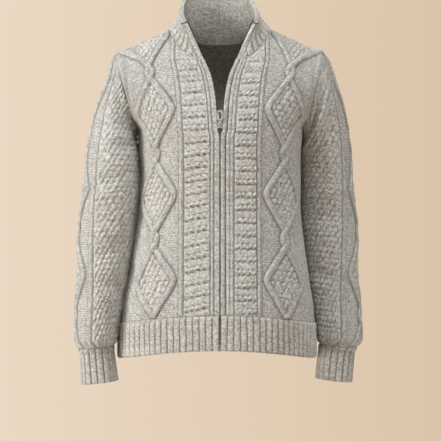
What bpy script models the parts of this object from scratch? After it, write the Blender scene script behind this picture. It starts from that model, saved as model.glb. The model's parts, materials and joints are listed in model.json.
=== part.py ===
# Cable knit zip cardigan in its worn, hollow form: two fronts, a back, two sleeves, rib hem and
# cuffs, a rib stand collar and an open-top front zip.  Metres, +Z up, the front faces -Y, +X is the
# wearer's left.  The origin is the middle of the neck at the height of the side neck points.
import math

import bmesh
import bpy
import numpy as np

# ---- cloth ---------------------------------------------------------------------------------------
WALL = 0.003          # knit fabric
COLLAR_WALL = 0.004   # doubled rib of the collar
SEAM = 0.0003         # gap between sewn pieces
HALF_SEAM = SEAM / 2

# ---- torso: half widths and half depths of the plan section at each height ------------------------
HEM_Z = -0.619
RIB_TOP_Z = -0.551
UNDERARM_Z = -0.190
UNDERARM_X = 0.157
TORSO_COLUMNS = ("z", "right_half", "left_half", "front", "back")
TORSO_ROWS = (
    (-0.619, 0.1915, 0.1800, 0.1400, 0.1290),
    (-0.551, 0.1905, 0.1790, 0.1380, 0.1290),
    (-0.475, 0.1795, 0.1700, 0.1310, 0.1250),
    (-0.400, 0.1660, 0.1592, 0.1245, 0.1160),
    (-0.323, 0.1555, 0.1530, 0.1200, 0.1070),
    (-0.250, 0.1535, 0.1535, 0.1210, 0.1080),
    (-0.190, 0.1570, 0.1570, 0.1220, 0.1120),
)
ROUND = 2.3           # exponent of the superellipse that the plan section follows
HEM_LIFT = 0.021      # the hem rises this much at the centre front
NECK_HALF = 0.097     # side neck point, x
SHOULDER_HALF = 0.200 # shoulder tip, x
SHOULDER_DROP = 0.047
SHOULDER_EASE = 0.010
FRONT_ROLL = 1.35     # how early the front leans back towards the shoulder seam
BACK_ROLL = 2.2

# ---- armhole: an ellipse in the plane through the underarm point and the shoulder tip --------------
ARM_HALF_FRONT = 0.060
ARM_HALF_BACK = 0.065

# ---- knit layout, as distances across the cloth from the centre line --------------------------------
EDGE = 0.002          # the fronts stop this far from the centre line
SIDE = 0.250          # nominal distance of the side seam
FREE = 0.165          # outside this the wales close up towards the armhole
NECK_WALE_FRONT = 0.0835   # the wale that reaches the side neck point
NECK_WALE_BACK = 0.097
NECK_CURVE = 2.2
NECK_DROP_FRONT = 0.063
NECK_DROP_BACK = 0.020
LOWER_ROWS = 30       # half rungs of the ladder below the underarm
UPPER_ROWS = 17
NECK_ROWS = 3
WALE_GAP = 0.0006
LADDER_HEIGHT = 0.0018
RIB_HEIGHT = 0.0022
GROOVE_DEPTH = 0.0006
CABLE_CENTRE = 0.127
CABLE_REACH = 0.040   # from the centre to the strand's middle where the diamond is widest
CABLE_MEET = 0.0055
CABLE_BEND = 0.15     # roundness of the diamond's side corners
STRAND_HALF = 0.0055
CABLE_HEIGHT = 0.0038
MOSS_HEIGHT = 0.0012
CABLE_PITCH = 0.158
KNOT_AT = -0.012      # height of the lowest crossing above the hem rib
KNOT_HALF = 0.022     # a crossing is twice this high

FRONT_WALES = ((0.002, "plain"), (0.009, "plain"), (0.012, "groove"), (0.017, "rib"),
               (0.022, "groove"), (0.025, "ladder"), (0.045, "ladder"), (0.064, "ladder"), (0.068, "groove"),
               (0.074, "rib"), (0.080, "groove"), (CABLE_CENTRE, "cable"), (0.183, "plain"), (0.188, "rib"),
               (0.206, "plain"), (0.229, "plain"), (0.250, "plain"))
BACK_WALES = ((0.000, "rib"), (0.007, "groove"), (0.012, "ladder"), (0.038, "ladder"), (0.064, "ladder"),
              (0.068, "groove"), (0.074, "rib"), (0.080, "groove"), (CABLE_CENTRE, "cable"),
              (0.183, "plain"), (0.188, "rib"), (0.206, "plain"), (0.229, "plain"), (0.250, "plain"))

# ---- front opening: how far the cloth and the zip tape stand from the centre line ------------------
OPENING_COLUMNS = ("z", "cloth", "tape")
OPENING_ROWS = (
    (-0.650, 0.0020, 0.0014),
    (-0.215, 0.0020, 0.0014),
    (-0.205, 0.0026, 0.0014),
    (-0.194, 0.0054, 0.0014),
    (-0.181, 0.0058, 0.0016),
    (-0.168, 0.0066, 0.0038),
    (-0.150, 0.0080, 0.0070),
    (-0.131, 0.0100, 0.0092),
    (-0.094, 0.0175, 0.0167),
    (-0.063, 0.0300, 0.0292),
)
TAPE_WIDTH = 0.0130
TAPE_THICK = 0.0010
TAPE_GAP = 0.0008     # behind the fronts
TAPE_LINES = (0.0, 0.5, 1.0)
TAPE_ON_COLLAR = (0.0, 0.028, 0.055)   # shares of half the neck seam
TAPE_UPS = (0.16, 0.33, 0.68, 0.985)
TAPE_BEHIND_COLLAR = 0.0013   # on top of the gap behind the fronts
TAPE_ROWS = 14

# ---- sleeve: outer and inner outline in the front view, with the depth of each ring ----------------
SLEEVE_COLUMNS = ("outer_z", "outer_right", "outer_left", "inner_z", "inner_right", "inner_left",
                  "half_depth", "centre_right", "centre_left")
SLEEVE_ROWS = (
    (-0.084, 0.2125, 0.2165, -0.199, 0.1600, 0.1600, 0.0610, -0.003, 0.008),
    (-0.125, 0.2265, 0.2300, -0.211, 0.1592, 0.1588, 0.0630, -0.007, 0.016),
    (-0.170, 0.2375, 0.2400, -0.226, 0.1564, 0.1558, 0.0640, -0.013, 0.025),
    (-0.220, 0.2465, 0.2480, -0.247, 0.1538, 0.1537, 0.0630, -0.020, 0.034),
    (-0.280, 0.2550, 0.2545, -0.288, 0.1529, 0.1531, 0.0610, -0.026, 0.042),
    (-0.352, 0.2625, 0.2605, -0.354, 0.1583, 0.1551, 0.0580, -0.030, 0.044),
    (-0.432, 0.2675, 0.2640, -0.432, 0.1692, 0.1643, 0.0530, -0.034, 0.036),
    (-0.512, 0.2695, 0.2660, -0.510, 0.1818, 0.1760, 0.0500, -0.038, 0.024),
    (-0.558, 0.2710, 0.2675, -0.554, 0.1900, 0.1838, 0.0500, -0.039, 0.015),
    (-0.586, 0.2715, 0.2680, -0.580, 0.1942, 0.1868, 0.0500, -0.040, 0.010),
    (-0.600, 0.2660, 0.2620, -0.594, 0.1985, 0.1896, 0.0440, -0.041, 0.007),
)
SLEEVE_RINGS = 37
CUFF_ROWS = (
    (-0.6100, 0.2595, 0.2540, -0.6040, 0.2015, 0.1905, 0.0365, -0.0416, 0.0060),
    (-0.6670, 0.2575, 0.2485, -0.6600, 0.1930, 0.1835, 0.0365, -0.0460, 0.0000),
)
SLEEVE_FREE = 0.060
SLEEVE_HALF = 0.185
SLEEVE_WALES = ((0.047, "groove"), (0.052, "rib"), (0.057, "groove"), (0.095, "moss"),
                (0.140, "moss"))
SLEEVE_CABLE_REACH = 0.034
SLEEVE_KNOT_AT = 0.059
SLEEVE_TWIST = {"right": (0.000, 0.012), "left": (-0.010, 0.021)}   # cable line, top and wrist

# ---- ribs ------------------------------------------------------------------------------------------
HEM_RIB = 0.0127
HEM_ROWS = (0.0, 0.5, 1.0)
CUFF_RIBS = 18
COLLAR_RIBS_HALF = 16
RIB_DEEP = 0.0022

# ---- collar top edge for one half, from the centre back to the front corner ------------------------
COLLAR_COLUMNS = ("along", "x_right", "x_left", "y", "z")
COLLAR_TOP = (
    (0.00, 0.0000, 0.0000, 0.050, 0.071),
    (0.22, 0.0410, 0.0360, 0.042, 0.070),
    (0.42, 0.0650, 0.0560, 0.014, 0.062),
    (0.62, 0.0720, 0.0650, -0.018, 0.045),
    (0.82, 0.0720, 0.0720, -0.045, 0.027),
    (1.00, 0.0670, 0.0670, -0.062, 0.011),
)
COLLAR_UPS = (0.0, 0.33, 0.68, 1.0)
COLLAR_HOLLOW = 0.005 # the collar's side is this much hollow between neck seam and top edge

# ---- zip slider, pull and end box --------------------------------------------------------------------
SLIDER_TOP_Z = -0.1805
SLIDER_HEIGHT = 0.0115
SLIDER_HALF = 0.0046
SLIDER_WAIST = 0.0010 # half width of the post between the plates
SLIDER_PROUD = 0.0002 # the front plate stands this far in front of the cloth
PLATE = 0.0012
SLIDER_CHANNEL = 0.0055
EAR_IN = 0.0020
EAR_OUT = 0.0032
EAR_RADIUS = 0.0016
PIVOT_DOWN = 0.0012   # pivot below the slider's top
PIVOT_OUT = 0.0032    # pivot in front of the front plate
PULL_LENGTH = 0.0225
PULL_HALF = 0.0048
PULL_NECK = 0.0017
PULL_SHOULDER = (0.0024, 0.0042)
PULL_ROUND = 0.0014
PULL_THICK = 0.0016
PULL_SLOT = (0.0070, 0.0192)
PULL_SLOT_HALF = 0.0024
PULL_LEAN = math.radians(8)
BARREL_RADIUS = 0.0011
END_BOX = (0.0017, 0.0027, 0.0090)   # half width, depth, height
END_BOX_UP = 0.0015

# ---- fineness ----------------------------------------------------------------------------------------
SECTION_POINTS = 121
FINE_LEVELS = 201
FINE_WALES = 161
PANEL_STEPS = (3, 4)  # the inside keeps every third row and fourth wale
SLEEVE_STEPS = (4, 2)

# ---- colours ---------------------------------------------------------------------------------------
KNIT = ((0.50, 0.475, 0.425, 1.0), 0.95, 0.0)
RIB = ((0.47, 0.445, 0.395, 1.0), 0.95, 0.0)
TAPE = ((0.36, 0.34, 0.31, 1.0), 0.85, 0.0)
METAL = ((0.14, 0.135, 0.13, 1.0), 0.35, 1.0)


def clear_scene():
    for obj in list(bpy.data.objects):
        bpy.data.objects.remove(obj, do_unlink=True)


def material(name, finish):
    colour, rough, metal = finish
    mat = bpy.data.materials.new(name)
    mat.use_nodes = True
    shader = mat.node_tree.nodes["Principled BSDF"]
    shader.inputs["Base Color"].default_value = colour
    shader.inputs["Roughness"].default_value = rough
    shader.inputs["Metallic"].default_value = metal
    return mat


def column(rows, columns, name):
    return np.array([row[columns.index(name)] for row in rows], float)


def smooth(key, value, at):
    """Value at any key, on a smooth curve without overshoot; the keys rise."""
    rise = np.diff(value) / np.diff(key)
    both = rise[:-1] * rise[1:]
    middle = np.where(both > 0, 2 * both / np.where(both > 0, rise[:-1] + rise[1:], 1.0), 0.0)
    slope = np.concatenate((rise[:1], middle, rise[-1:]))
    at = np.clip(np.asarray(at, float), key[0], key[-1])
    i = np.clip(np.searchsorted(key, at) - 1, 0, len(key) - 2)
    span = key[i + 1] - key[i]
    t = (at - key[i]) / span
    return ((2 * t ** 3 - 3 * t ** 2 + 1) * value[i] + (t ** 3 - 2 * t ** 2 + t) * span * slope[i]
            + (3 * t ** 2 - 2 * t ** 3) * value[i + 1] + (t ** 3 - t ** 2) * span * slope[i + 1])


def read_table(rows, columns, name, at):
    return smooth(column(rows, columns, columns[0]), column(rows, columns, name), at)


def unit(vectors):
    vectors = np.asarray(vectors, float)
    return vectors / np.maximum(np.linalg.norm(vectors, axis=-1, keepdims=True), 1e-12)


def travelled(points):
    """Distance along a line of points, from its first."""
    steps = np.linalg.norm(np.diff(points, axis=0), axis=1)
    return np.concatenate(([0.0], np.cumsum(steps)))


def resample(points, where, at):
    """Rows of `points`, given at `where`, read at the places `at`."""
    return np.stack([np.interp(at, where, points[:, k]) for k in range(points.shape[1])], axis=-1)


# ---- the torso's surface ----------------------------------------------------------------------------
TIP = np.array((SHOULDER_HALF, 0.0, -SHOULDER_DROP))
UNDERARM = np.array((UNDERARM_X, 0.0, UNDERARM_Z))
ARM_UP = unit(TIP - UNDERARM)
ARM_OUT = np.array((ARM_UP[2], 0.0, -ARM_UP[0]))
ARM_MID = (TIP + UNDERARM) / 2
ARM_HALF = np.linalg.norm(TIP - UNDERARM) / 2
LEAN = ARM_UP[0] / ARM_UP[2]
ASIDE = np.array((0.0, 1.0, 0.0))


def shoulder_z(x):
    """Height of the shoulder seam over x; level between the side neck points."""
    over = x - NECK_HALF
    slope = SHOULDER_DROP / (SHOULDER_HALF - NECK_HALF)
    return -slope * (np.sqrt(over ** 2 + SHOULDER_EASE ** 2) + over) / 2


def arm_edge(t):
    """The armhole's edge at the share t of the way up: its x and z."""
    x = SHOULDER_HALF
    for _ in range(20):
        z = UNDERARM_Z + (shoulder_z(x) - UNDERARM_Z) * t
        x = UNDERARM_X + (z - UNDERARM_Z) * LEAN
    return x, z


def section(side, face, level):
    """Line across half a panel, from the centre to the side seam or the armhole.

    level 0 is the top of the hem rib, 1 the underarm and 2 the shoulder seam; side is "left" or
    "right", both worked out at +X; face is -1 in front and 1 behind."""
    depth_name = "front" if face < 0 else "back"
    if level <= 1:
        z = RIB_TOP_Z + (UNDERARM_Z - RIB_TOP_Z) * level
        half = float(read_table(TORSO_ROWS, TORSO_COLUMNS, side + "_half", z))
        deep = float(read_table(TORSO_ROWS, TORSO_COLUMNS, depth_name, z))
        turn = np.linspace(0, math.pi / 2, SECTION_POINTS)
        x = half * np.sin(turn) ** (2 / ROUND)
        lift = HEM_LIFT * (UNDERARM_Z - z) / (UNDERARM_Z - HEM_Z) if face < 0 else 0.0
        height = z + lift * (1 - (x / half) ** 2)
    else:
        t = math.sin((level - 1) * math.pi / 2)
        shape_t = min(t, 0.9995)
        chest = TORSO_ROWS[-1][TORSO_COLUMNS.index(depth_name)]
        roll = FRONT_ROLL if face < 0 else BACK_ROLL
        edge_x, edge_z = arm_edge(shape_t)
        up = (edge_z - ARM_MID[2]) / (ARM_HALF * ARM_UP[2])
        arm = ARM_HALF_FRONT if face < 0 else ARM_HALF_BACK
        share = arm * math.sqrt(max(1 - up ** 2, 0.0)) / (chest * math.sqrt(1 - shape_t ** roll))
        edge_x = arm_edge(t)[0]
        half = edge_x / (1 - min(share, 0.88) ** ROUND) ** (1 / ROUND)
        turn = np.linspace(0, math.asin((edge_x / half) ** (ROUND / 2)), SECTION_POINTS)
        x = half * np.sin(turn) ** (2 / ROUND)
        height = UNDERARM_Z + (shoulder_z(x) - UNDERARM_Z) * t
        deep = chest * math.sqrt(max(1 - t ** roll, 0.0))
    y = face * deep * np.abs(np.cos(turn)) ** (2 / ROUND)
    return np.stack([x, y, height], axis=-1)


def neck_level(face, wales):
    """Level at which each wale ends: on the neckline, or 2 on the shoulder seam."""
    first, last = (EDGE, NECK_WALE_FRONT) if face < 0 else (0.0, NECK_WALE_BACK)
    drop = NECK_DROP_FRONT if face < 0 else NECK_DROP_BACK
    across = np.clip((np.asarray(wales, float) - first) / (last - first), 0, 1)
    t = 1 + drop / UNDERARM_Z * (1 - across ** NECK_CURVE)
    return 1 + np.arcsin(t) * 2 / math.pi


def place_wales(face, line, wales):
    """Distance along a section at which each wale lies."""
    opened = 0.0
    if face < 0:
        opened = float(read_table(OPENING_ROWS, OPENING_COLUMNS, "cloth", line[0, 2])) - EDGE
    outer = FREE + (wales - FREE) * (travelled(line)[-1] - FREE) / (SIDE - FREE)
    return np.where(wales <= FREE, wales + opened * (1 - wales / FREE), outer)


def place_tape(face, line, across):
    """Distance along a section of each line along the zip tape."""
    return float(read_table(OPENING_ROWS, OPENING_COLUMNS, "tape", line[0, 2])) + across


def lay(side, face, places, wales, levels):
    """Net of points and outward normals, a row for each level and a column for each wale."""
    net = np.empty((len(levels), len(wales), 3))
    for k, level in enumerate(levels):
        line = section(side, face, level)
        net[k] = resample(line, travelled(line), places(face, line, wales))
    normal = unit(np.cross(np.gradient(net, axis=1), np.gradient(net, axis=0))) * -face
    return net, normal


def torso_rows(side, face, places, wales, low, tops, shares):
    """Rows of a net between the level `low` and each wale's own top, at shares of its length."""
    levels = np.linspace(low, 2, FINE_LEVELS)
    net, normal = lay(side, face, places, wales, levels)
    points = np.empty((len(shares[0]), len(wales), 3))
    normals = np.empty_like(points)
    heights = np.empty(points.shape[:2])
    for k in range(len(wales)):
        along = travelled(net[:, k])
        under = np.interp(min(1.0, tops[k]), levels, along)
        top = np.interp(tops[k], levels, along)
        at = under * shares[0] + (top - under) * shares[1]
        points[:, k] = resample(net[:, k], along, at)
        normals[:, k] = unit(resample(normal[:, k], along, at))
        heights[:, k] = at
    return points, normals, heights


def arm_inward(point, face):
    """Direction in the armhole's plane, square to its edge, towards the inside of the garment."""
    arm = ARM_HALF_FRONT if face < 0 else ARM_HALF_BACK
    up = np.dot(point - ARM_MID, ARM_UP) / ARM_HALF ** 2
    return -unit(up * ARM_UP + point[1] / arm ** 2 * ASIDE)


# ---- relief of the knit ------------------------------------------------------------------------------
def cable_spread(height, knot_at, reach):
    """Distance of each strand from the cable's middle at a height."""
    turns = (height - knot_at) / CABLE_PITCH
    from_knot = abs(turns - round(turns)) * CABLE_PITCH
    share = max(from_knot - KNOT_HALF, 0.0) / (CABLE_PITCH / 2 - KNOT_HALF)
    bend = math.sqrt(1 + CABLE_BEND ** 2) - CABLE_BEND
    share = 1 - (math.sqrt((1 - share) ** 2 + CABLE_BEND ** 2) - CABLE_BEND) / bend
    return CABLE_MEET + (reach - CABLE_MEET) * share


def cable_wales(centre, spread):
    """The seven lines of a two-strand cable: where they lie and how high they stand."""
    inner = max(spread - STRAND_HALF, 0.0012)
    near = min(max((0.013 - spread) / (0.013 - CABLE_MEET), 0.0), 1.0)
    middle = MOSS_HEIGHT + (CABLE_HEIGHT - MOSS_HEIGHT) * near
    lines = [(spread + STRAND_HALF, 0.0), (spread, CABLE_HEIGHT), (inner, CABLE_HEIGHT * near * 0.8)]
    left = [(centre - off, high) for off, high in lines]
    right = [(centre + off, high) for off, high in reversed(lines)]
    return left + [(centre, middle)] + right


def relief(kind, row):
    if kind == "ladder":
        return LADDER_HEIGHT * (row % 2)
    return {"plain": 0.0, "rib": RIB_HEIGHT, "groove": -GROOVE_DEPTH}[kind]


def wale_lines(wales, row, height, neck_wale):
    """Every wale of a panel on one row: where it lies and how high it stands.

    The groove beside the cable moves over to the side neck point on the last rows."""
    cable = cable_wales(CABLE_CENTRE, cable_spread(height, KNOT_AT, CABLE_REACH))
    near_neck = min(max((row - LOWER_ROWS - UPPER_ROWS) / NECK_ROWS + 1, 0.0), 1.0)
    lines = []
    for place, kind in wales:
        if kind == "cable":
            moved = lines[-1][0] + (neck_wale - lines[-1][0]) * near_neck
            lines[-1] = (min(moved, cable[0][0] - WALE_GAP), lines[-1][1])
            lines += cable
        else:
            lines.append((place, relief(kind, row)))
    return np.array(lines)


# ---- closed walls ------------------------------------------------------------------------------------
def zip_strip(a, a_at, b, b_at):
    """Triangles between two lines of vertices that run side by side."""
    faces = []
    i = j = 0
    while i < len(a) - 1 or j < len(b) - 1:
        if j == len(b) - 1 or (i < len(a) - 1 and a_at[i + 1] <= b_at[j + 1]):
            faces.append((a[i], a[i + 1], b[j]))
            i += 1
        else:
            faces.append((a[i], b[j + 1], b[j]))
            j += 1
    return faces


def coarse(count, step):
    picked = list(range(0, count, step))
    if picked[-1] != count - 1:
        if count - 1 - picked[-1] < step / 2 and len(picked) > 2:
            picked.pop()
        picked.append(count - 1)
    return picked


def wall(name, mat, outer, inner, around=False, row_step=1, column_step=1):
    """One closed body between an outer net and a plainer inner one.

    With `around` the nets' columns close into a tube."""
    rows, cols = outer.shape[:2]
    verts = [tuple(p) for p in outer.reshape(-1, 3)]
    faces = []
    span = cols if around else cols - 1
    for r in range(rows - 1):
        for c in range(span):
            d = (c + 1) % cols
            faces.append((r * cols + c, r * cols + d, (r + 1) * cols + d, (r + 1) * cols + c))
    inside = {}

    def vertex(r, c):
        c = c % cols if around else c
        if (r, c) not in inside:
            inside[r, c] = len(verts)
            verts.append(tuple(inner[r, c]))
        return inside[r, c]

    def rim(cells):
        for (r0, c0), (r1, c1) in zip(cells, cells[1:]):
            out0, out1 = r0 * cols + c0 % cols, r1 * cols + c1 % cols
            faces.append((out0, out1, vertex(r1, c1), vertex(r0, c0)))

    row_cut = coarse(rows, row_step)
    body_rows = row_cut[1:-1]
    if around:
        col_cut = list(range(0, cols, column_step)) + [cols]
        for r, near in ((0, row_cut[1]), (rows - 1, row_cut[-2])):
            rim([(r, c) for c in range(cols + 1)])
            faces.extend(zip_strip([vertex(r, c) for c in range(cols + 1)], list(range(cols + 1)),
                                   [vertex(near, c) for c in col_cut], col_cut))
        body_cols = col_cut
    else:
        col_cut = coarse(cols, column_step)
        body_cols = col_cut[1:-1]
        last_r, last_c = rows - 1, cols - 1
        for r, near in ((0, body_rows[0]), (last_r, body_rows[-1])):
            rim([(r, c) for c in range(cols)])
            faces.extend(zip_strip([vertex(r, c) for c in range(cols)], list(range(cols)),
                                   [vertex(near, c) for c in body_cols], body_cols))
        for c, near in ((0, body_cols[0]), (last_c, body_cols[-1])):
            rim([(r, c) for r in range(rows)])
            faces.extend(zip_strip([vertex(r, c) for r in range(rows)], list(range(rows)),
                                   [vertex(r, near) for r in body_rows], body_rows))
    for r0, r1 in zip(body_rows, body_rows[1:]):
        for c0, c1 in zip(body_cols, body_cols[1:]):
            faces.append((vertex(r0, c0), vertex(r0, c1), vertex(r1, c1), vertex(r1, c0)))
    return add_mesh(name, mat, verts, faces)


def add_mesh(name, mat, verts, faces):
    mesh = bpy.data.meshes.new(name)
    mesh.from_pydata(verts, [], faces)
    work = bmesh.new()
    work.from_mesh(mesh)
    bmesh.ops.triangulate(work, faces=work.faces[:])
    bmesh.ops.recalc_face_normals(work, faces=work.faces[:])
    work.to_mesh(mesh)
    work.free()
    mesh.shade_smooth()
    mesh.set_sharp_from_angle(angle=math.radians(35))
    mesh.materials.append(mat)
    obj = bpy.data.objects.new(name, mesh)
    bpy.context.scene.collection.objects.link(obj)
    return obj


def mirrored(points, side):
    return points if side == "left" else points * np.array((-1.0, 1.0, 1.0))


def own_side(points, face):
    """Keep a panel half a seam clear of the plane in which front and back meet."""
    points = points.copy()
    points[..., 1] = face * np.maximum(points[..., 1] * face, HALF_SEAM)
    return points


# ---- fronts and back --------------------------------------------------------------------------------
def half_panel(side, face, wales):
    """Outer and inner nets of a front, or of half the back, both at +X."""
    neck_wale = NECK_WALE_FRONT if face < 0 else NECK_WALE_BACK
    fine = np.linspace(wales[0][0], SIDE, FINE_WALES)
    lower = np.linspace(0, 1, LOWER_ROWS + 1)
    upper = np.linspace(0, 1, UPPER_ROWS + 1)[1:]
    shares = (np.concatenate((lower, np.ones(UPPER_ROWS))),
              np.concatenate((np.zeros(LOWER_ROWS + 1), upper)))
    points, normals, heights = torso_rows(side, face, place_wales, fine, 0.0,
                                          neck_level(face, fine), shares)
    outer, inner = [], []
    for r in range(len(points)):
        height = float(np.interp(CABLE_CENTRE, fine, heights[r]))
        lines = wale_lines(wales, r, height, neck_wale)
        base = resample(points[r], fine, lines[:, 0])
        out = unit(resample(normals[r], fine, lines[:, 0]))
        if r == len(points) - 1:
            on_seam = lines[:, 0] > neck_wale - WALE_GAP
            out[on_seam, 1] = 0.0
            out = unit(out)
        out[-1, 1] = 0.0
        out[-1] = unit(out[-1])
        in_dir = -out
        high = lines[:, 1]
        if r >= LOWER_ROWS:
            base[-1] -= ARM_OUT * HALF_SEAM
            in_dir[-1] = arm_inward(base[-1], face)
            out[-1] = -in_dir[-1]
        outer.append(base + out * high[:, None])
        inner.append(base + in_dir * WALL)
    return own_side(np.array(outer), face), own_side(np.array(inner), face)


def make_fronts(mat):
    for side in ("right", "left"):
        outer, inner = half_panel(side, -1, FRONT_WALES)
        wall("front_" + side, mat, mirrored(outer, side), mirrored(inner, side),
             row_step=PANEL_STEPS[0], column_step=PANEL_STEPS[1])


def make_back(mat):
    nets = []
    for net in zip(half_panel("right", 1, BACK_WALES), half_panel("left", 1, BACK_WALES)):
        right, left = net
        nets.append(np.concatenate((mirrored(right, "right")[:, :0:-1], left), axis=1))
    wall("back", mat, nets[0], nets[1], row_step=PANEL_STEPS[0], column_step=PANEL_STEPS[1])


# ---- hem rib -----------------------------------------------------------------------------------------
def rib_profile(count):
    """A crest and a groove for each rib, as shares of the width, with their heights."""
    lines = np.arange(2 * count + 1)
    return lines / (2 * count), RIB_DEEP * (lines % 2)


def half_hem(side, face):
    first = EDGE if face < 0 else 0.0
    at, high = rib_profile(round((SIDE - first) / HEM_RIB))
    wales = first + (SIDE - first) * at
    drop = UNDERARM_Z - RIB_TOP_Z
    levels = [-SEAM / drop + (HEM_Z - RIB_TOP_Z + SEAM) / drop * share for share in HEM_ROWS]
    points, normals = lay(side, face, place_wales, wales, levels)
    normals[:, -1] = (1.0, 0.0, 0.0)
    outer = points + normals * high[None, :, None]
    return own_side(outer, face), own_side(points - normals * WALL, face)


def make_hem(mat):
    for side in ("right", "left"):
        outer, inner = half_hem(side, -1)
        wall("hem_front_" + side, mat, mirrored(outer, side), mirrored(inner, side), column_step=4)
    nets = []
    for right, left in zip(half_hem("right", 1), half_hem("left", 1)):
        nets.append(np.concatenate((mirrored(right, "right")[:, :0:-1], left), axis=1))
    wall("hem_back", mat, nets[0], nets[1], column_step=4)


# ---- sleeves and cuffs ---------------------------------------------------------------------------------
def rails(side, rows):
    """Outer and inner outline points, depth and middle of each table row of a sleeve."""
    def read(name):
        return column(rows, SLEEVE_COLUMNS, name)
    zero = np.zeros(len(rows))
    outer = np.stack([read("outer_" + side), zero, read("outer_z")], axis=-1)
    inner = np.stack([read("inner_" + side), zero, read("inner_z")], axis=-1)
    return outer, inner, read("half_depth"), read("centre_" + side)


def ring_line(outer, inner, front, back, mid_y):
    """A ring from its innermost line round the back, the outside and the front, to it again."""
    middle = (outer + inner) / 2
    reach = (outer - inner) / 2
    turn = np.linspace(-math.pi, math.pi, 2 * SECTION_POINTS - 1)
    deep = np.where(turn < 0, back, front)
    return middle + np.cos(turn)[:, None] * reach + (mid_y - deep * np.sin(turn))[:, None] * ASIDE


def place_round(line, wales, twist):
    """Distance along a ring of each wale; 0 is the outside of the arm, plus is towards the front."""
    length = travelled(line)
    zero = length[SECTION_POINTS - 1]
    halves = np.where(wales < 0, zero, length[-1] - zero)
    size = np.abs(wales)
    outer = SLEEVE_FREE + (size - SLEEVE_FREE) * (halves - SLEEVE_FREE) / (SLEEVE_HALF - SLEEVE_FREE)
    placed = np.where(size <= SLEEVE_FREE, size, outer) * np.sign(wales)
    return length, zero + placed + twist * (1 - size / SLEEVE_HALF)


def sleeve_net(side, wales_at, ring_shares):
    """Rings of a sleeve from the armhole to the wrist, with normals and the height above the wrist."""
    outer, inner, depth, mid_y = rails(side, SLEEVE_ROWS)
    start = ARM_OUT * HALF_SEAM
    outer = np.concatenate(([TIP + start], outer))
    inner = np.concatenate(([UNDERARM + start], inner))
    front = np.concatenate(([ARM_HALF_FRONT], depth))
    back = np.concatenate(([ARM_HALF_BACK], depth))
    mid_y = np.concatenate(([0.0], mid_y))
    along = (travelled(outer) + travelled(inner)) / 2
    top_twist, wrist_twist = SLEEVE_TWIST[side]
    fine = np.linspace(-SLEEVE_HALF, SLEEVE_HALF, 2 * FINE_WALES - 1)
    points = np.empty((len(ring_shares), len(fine), 3))
    for k, share in enumerate(ring_shares):
        at = share * along[-1]
        out_point = np.array([smooth(along, outer[:, i], at) for i in range(3)])
        in_point = np.array([smooth(along, inner[:, i], at) for i in range(3)])
        line = ring_line(out_point, in_point, smooth(along, front, at), smooth(along, back, at),
                         float(smooth(along, mid_y, at)))
        twist = top_twist + (wrist_twist - top_twist) * share
        length, placed = place_round(line, fine, twist)
        points[k] = resample(line, length, placed)
    normal = unit(np.cross(np.gradient(points, axis=1), np.gradient(points, axis=0)))
    height = along[-1] * (1 - np.asarray(ring_shares))
    lines = [wales_at(r, height[r]) for r in range(len(points))]
    base = np.array([resample(points[r], fine, lines[r][:, 0]) for r in range(len(points))])
    out = unit(np.array([resample(normal[r], fine, lines[r][:, 0]) for r in range(len(points))]))
    high = np.array([line[:, 1] for line in lines])
    return base, out, high


def ring_inward(ring):
    """Directions in a ring's own plane, square to its line, towards its middle."""
    tangent = np.roll(ring, -1, axis=0) - np.roll(ring, 1, axis=0)
    middle = ring.mean(axis=0)
    flat = unit(np.cross(ring[0] - middle, ring[len(ring) // 4] - middle))
    inward = unit(np.cross(flat, tangent))
    facing = np.sign(np.sum(inward * (middle - ring), axis=1))
    return inward * facing[:, None]


def sleeve_lines(row, height):
    """Wales of a sleeve on one ring, from the underarm line round the back to the front."""
    sides = []
    for place, kind in SLEEVE_WALES:
        high = MOSS_HEIGHT * (row % 2) if kind == "moss" else relief(kind, row)
        sides.append((place, high))
    cable = cable_wales(0.0, cable_spread(height, SLEEVE_KNOT_AT, SLEEVE_CABLE_REACH))
    back = [(-place, high) for place, high in reversed(sides)]
    return np.array([(-SLEEVE_HALF, 0.0)] + back + cable + sides)


def make_sleeves(mat):
    shares = np.linspace(0, 1, SLEEVE_RINGS)
    for side in ("right", "left"):
        base, out, high = sleeve_net(side, sleeve_lines, shares)
        in_dir = -out
        for end in (0, -1):
            in_dir[end] = ring_inward(base[end])
            high[end] = 0.0
        wall("sleeve_" + side, mat, mirrored(base + out * high[..., None], side),
             mirrored(base + in_dir * WALL, side), around=True,
             row_step=SLEEVE_STEPS[0], column_step=SLEEVE_STEPS[1])


def make_cuffs(mat):
    at, high = rib_profile(CUFF_RIBS)
    at, high = at[:-1], high[:-1]
    for side in ("right", "left"):
        outer, inner, depth, mid_y = rails(side, (SLEEVE_ROWS[-1],) + CUFF_ROWS)
        rings = []
        for k in range(len(outer)):
            line = ring_line(outer[k], inner[k], depth[k], depth[k], mid_y[k])
            length = travelled(line)
            rings.append(resample(line, length, at * length[-1]))
        base = np.array(rings)
        base[0, :, 2] -= SEAM
        out = -np.array([ring_inward(ring) for ring in base])
        lift = np.repeat(high[None, :], len(base), axis=0)
        lift[0] = 0.0
        wall("cuff_" + side, mat, mirrored(base + out * lift[..., None], side),
             mirrored(base - out * WALL, side), around=True, column_step=2)


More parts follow.
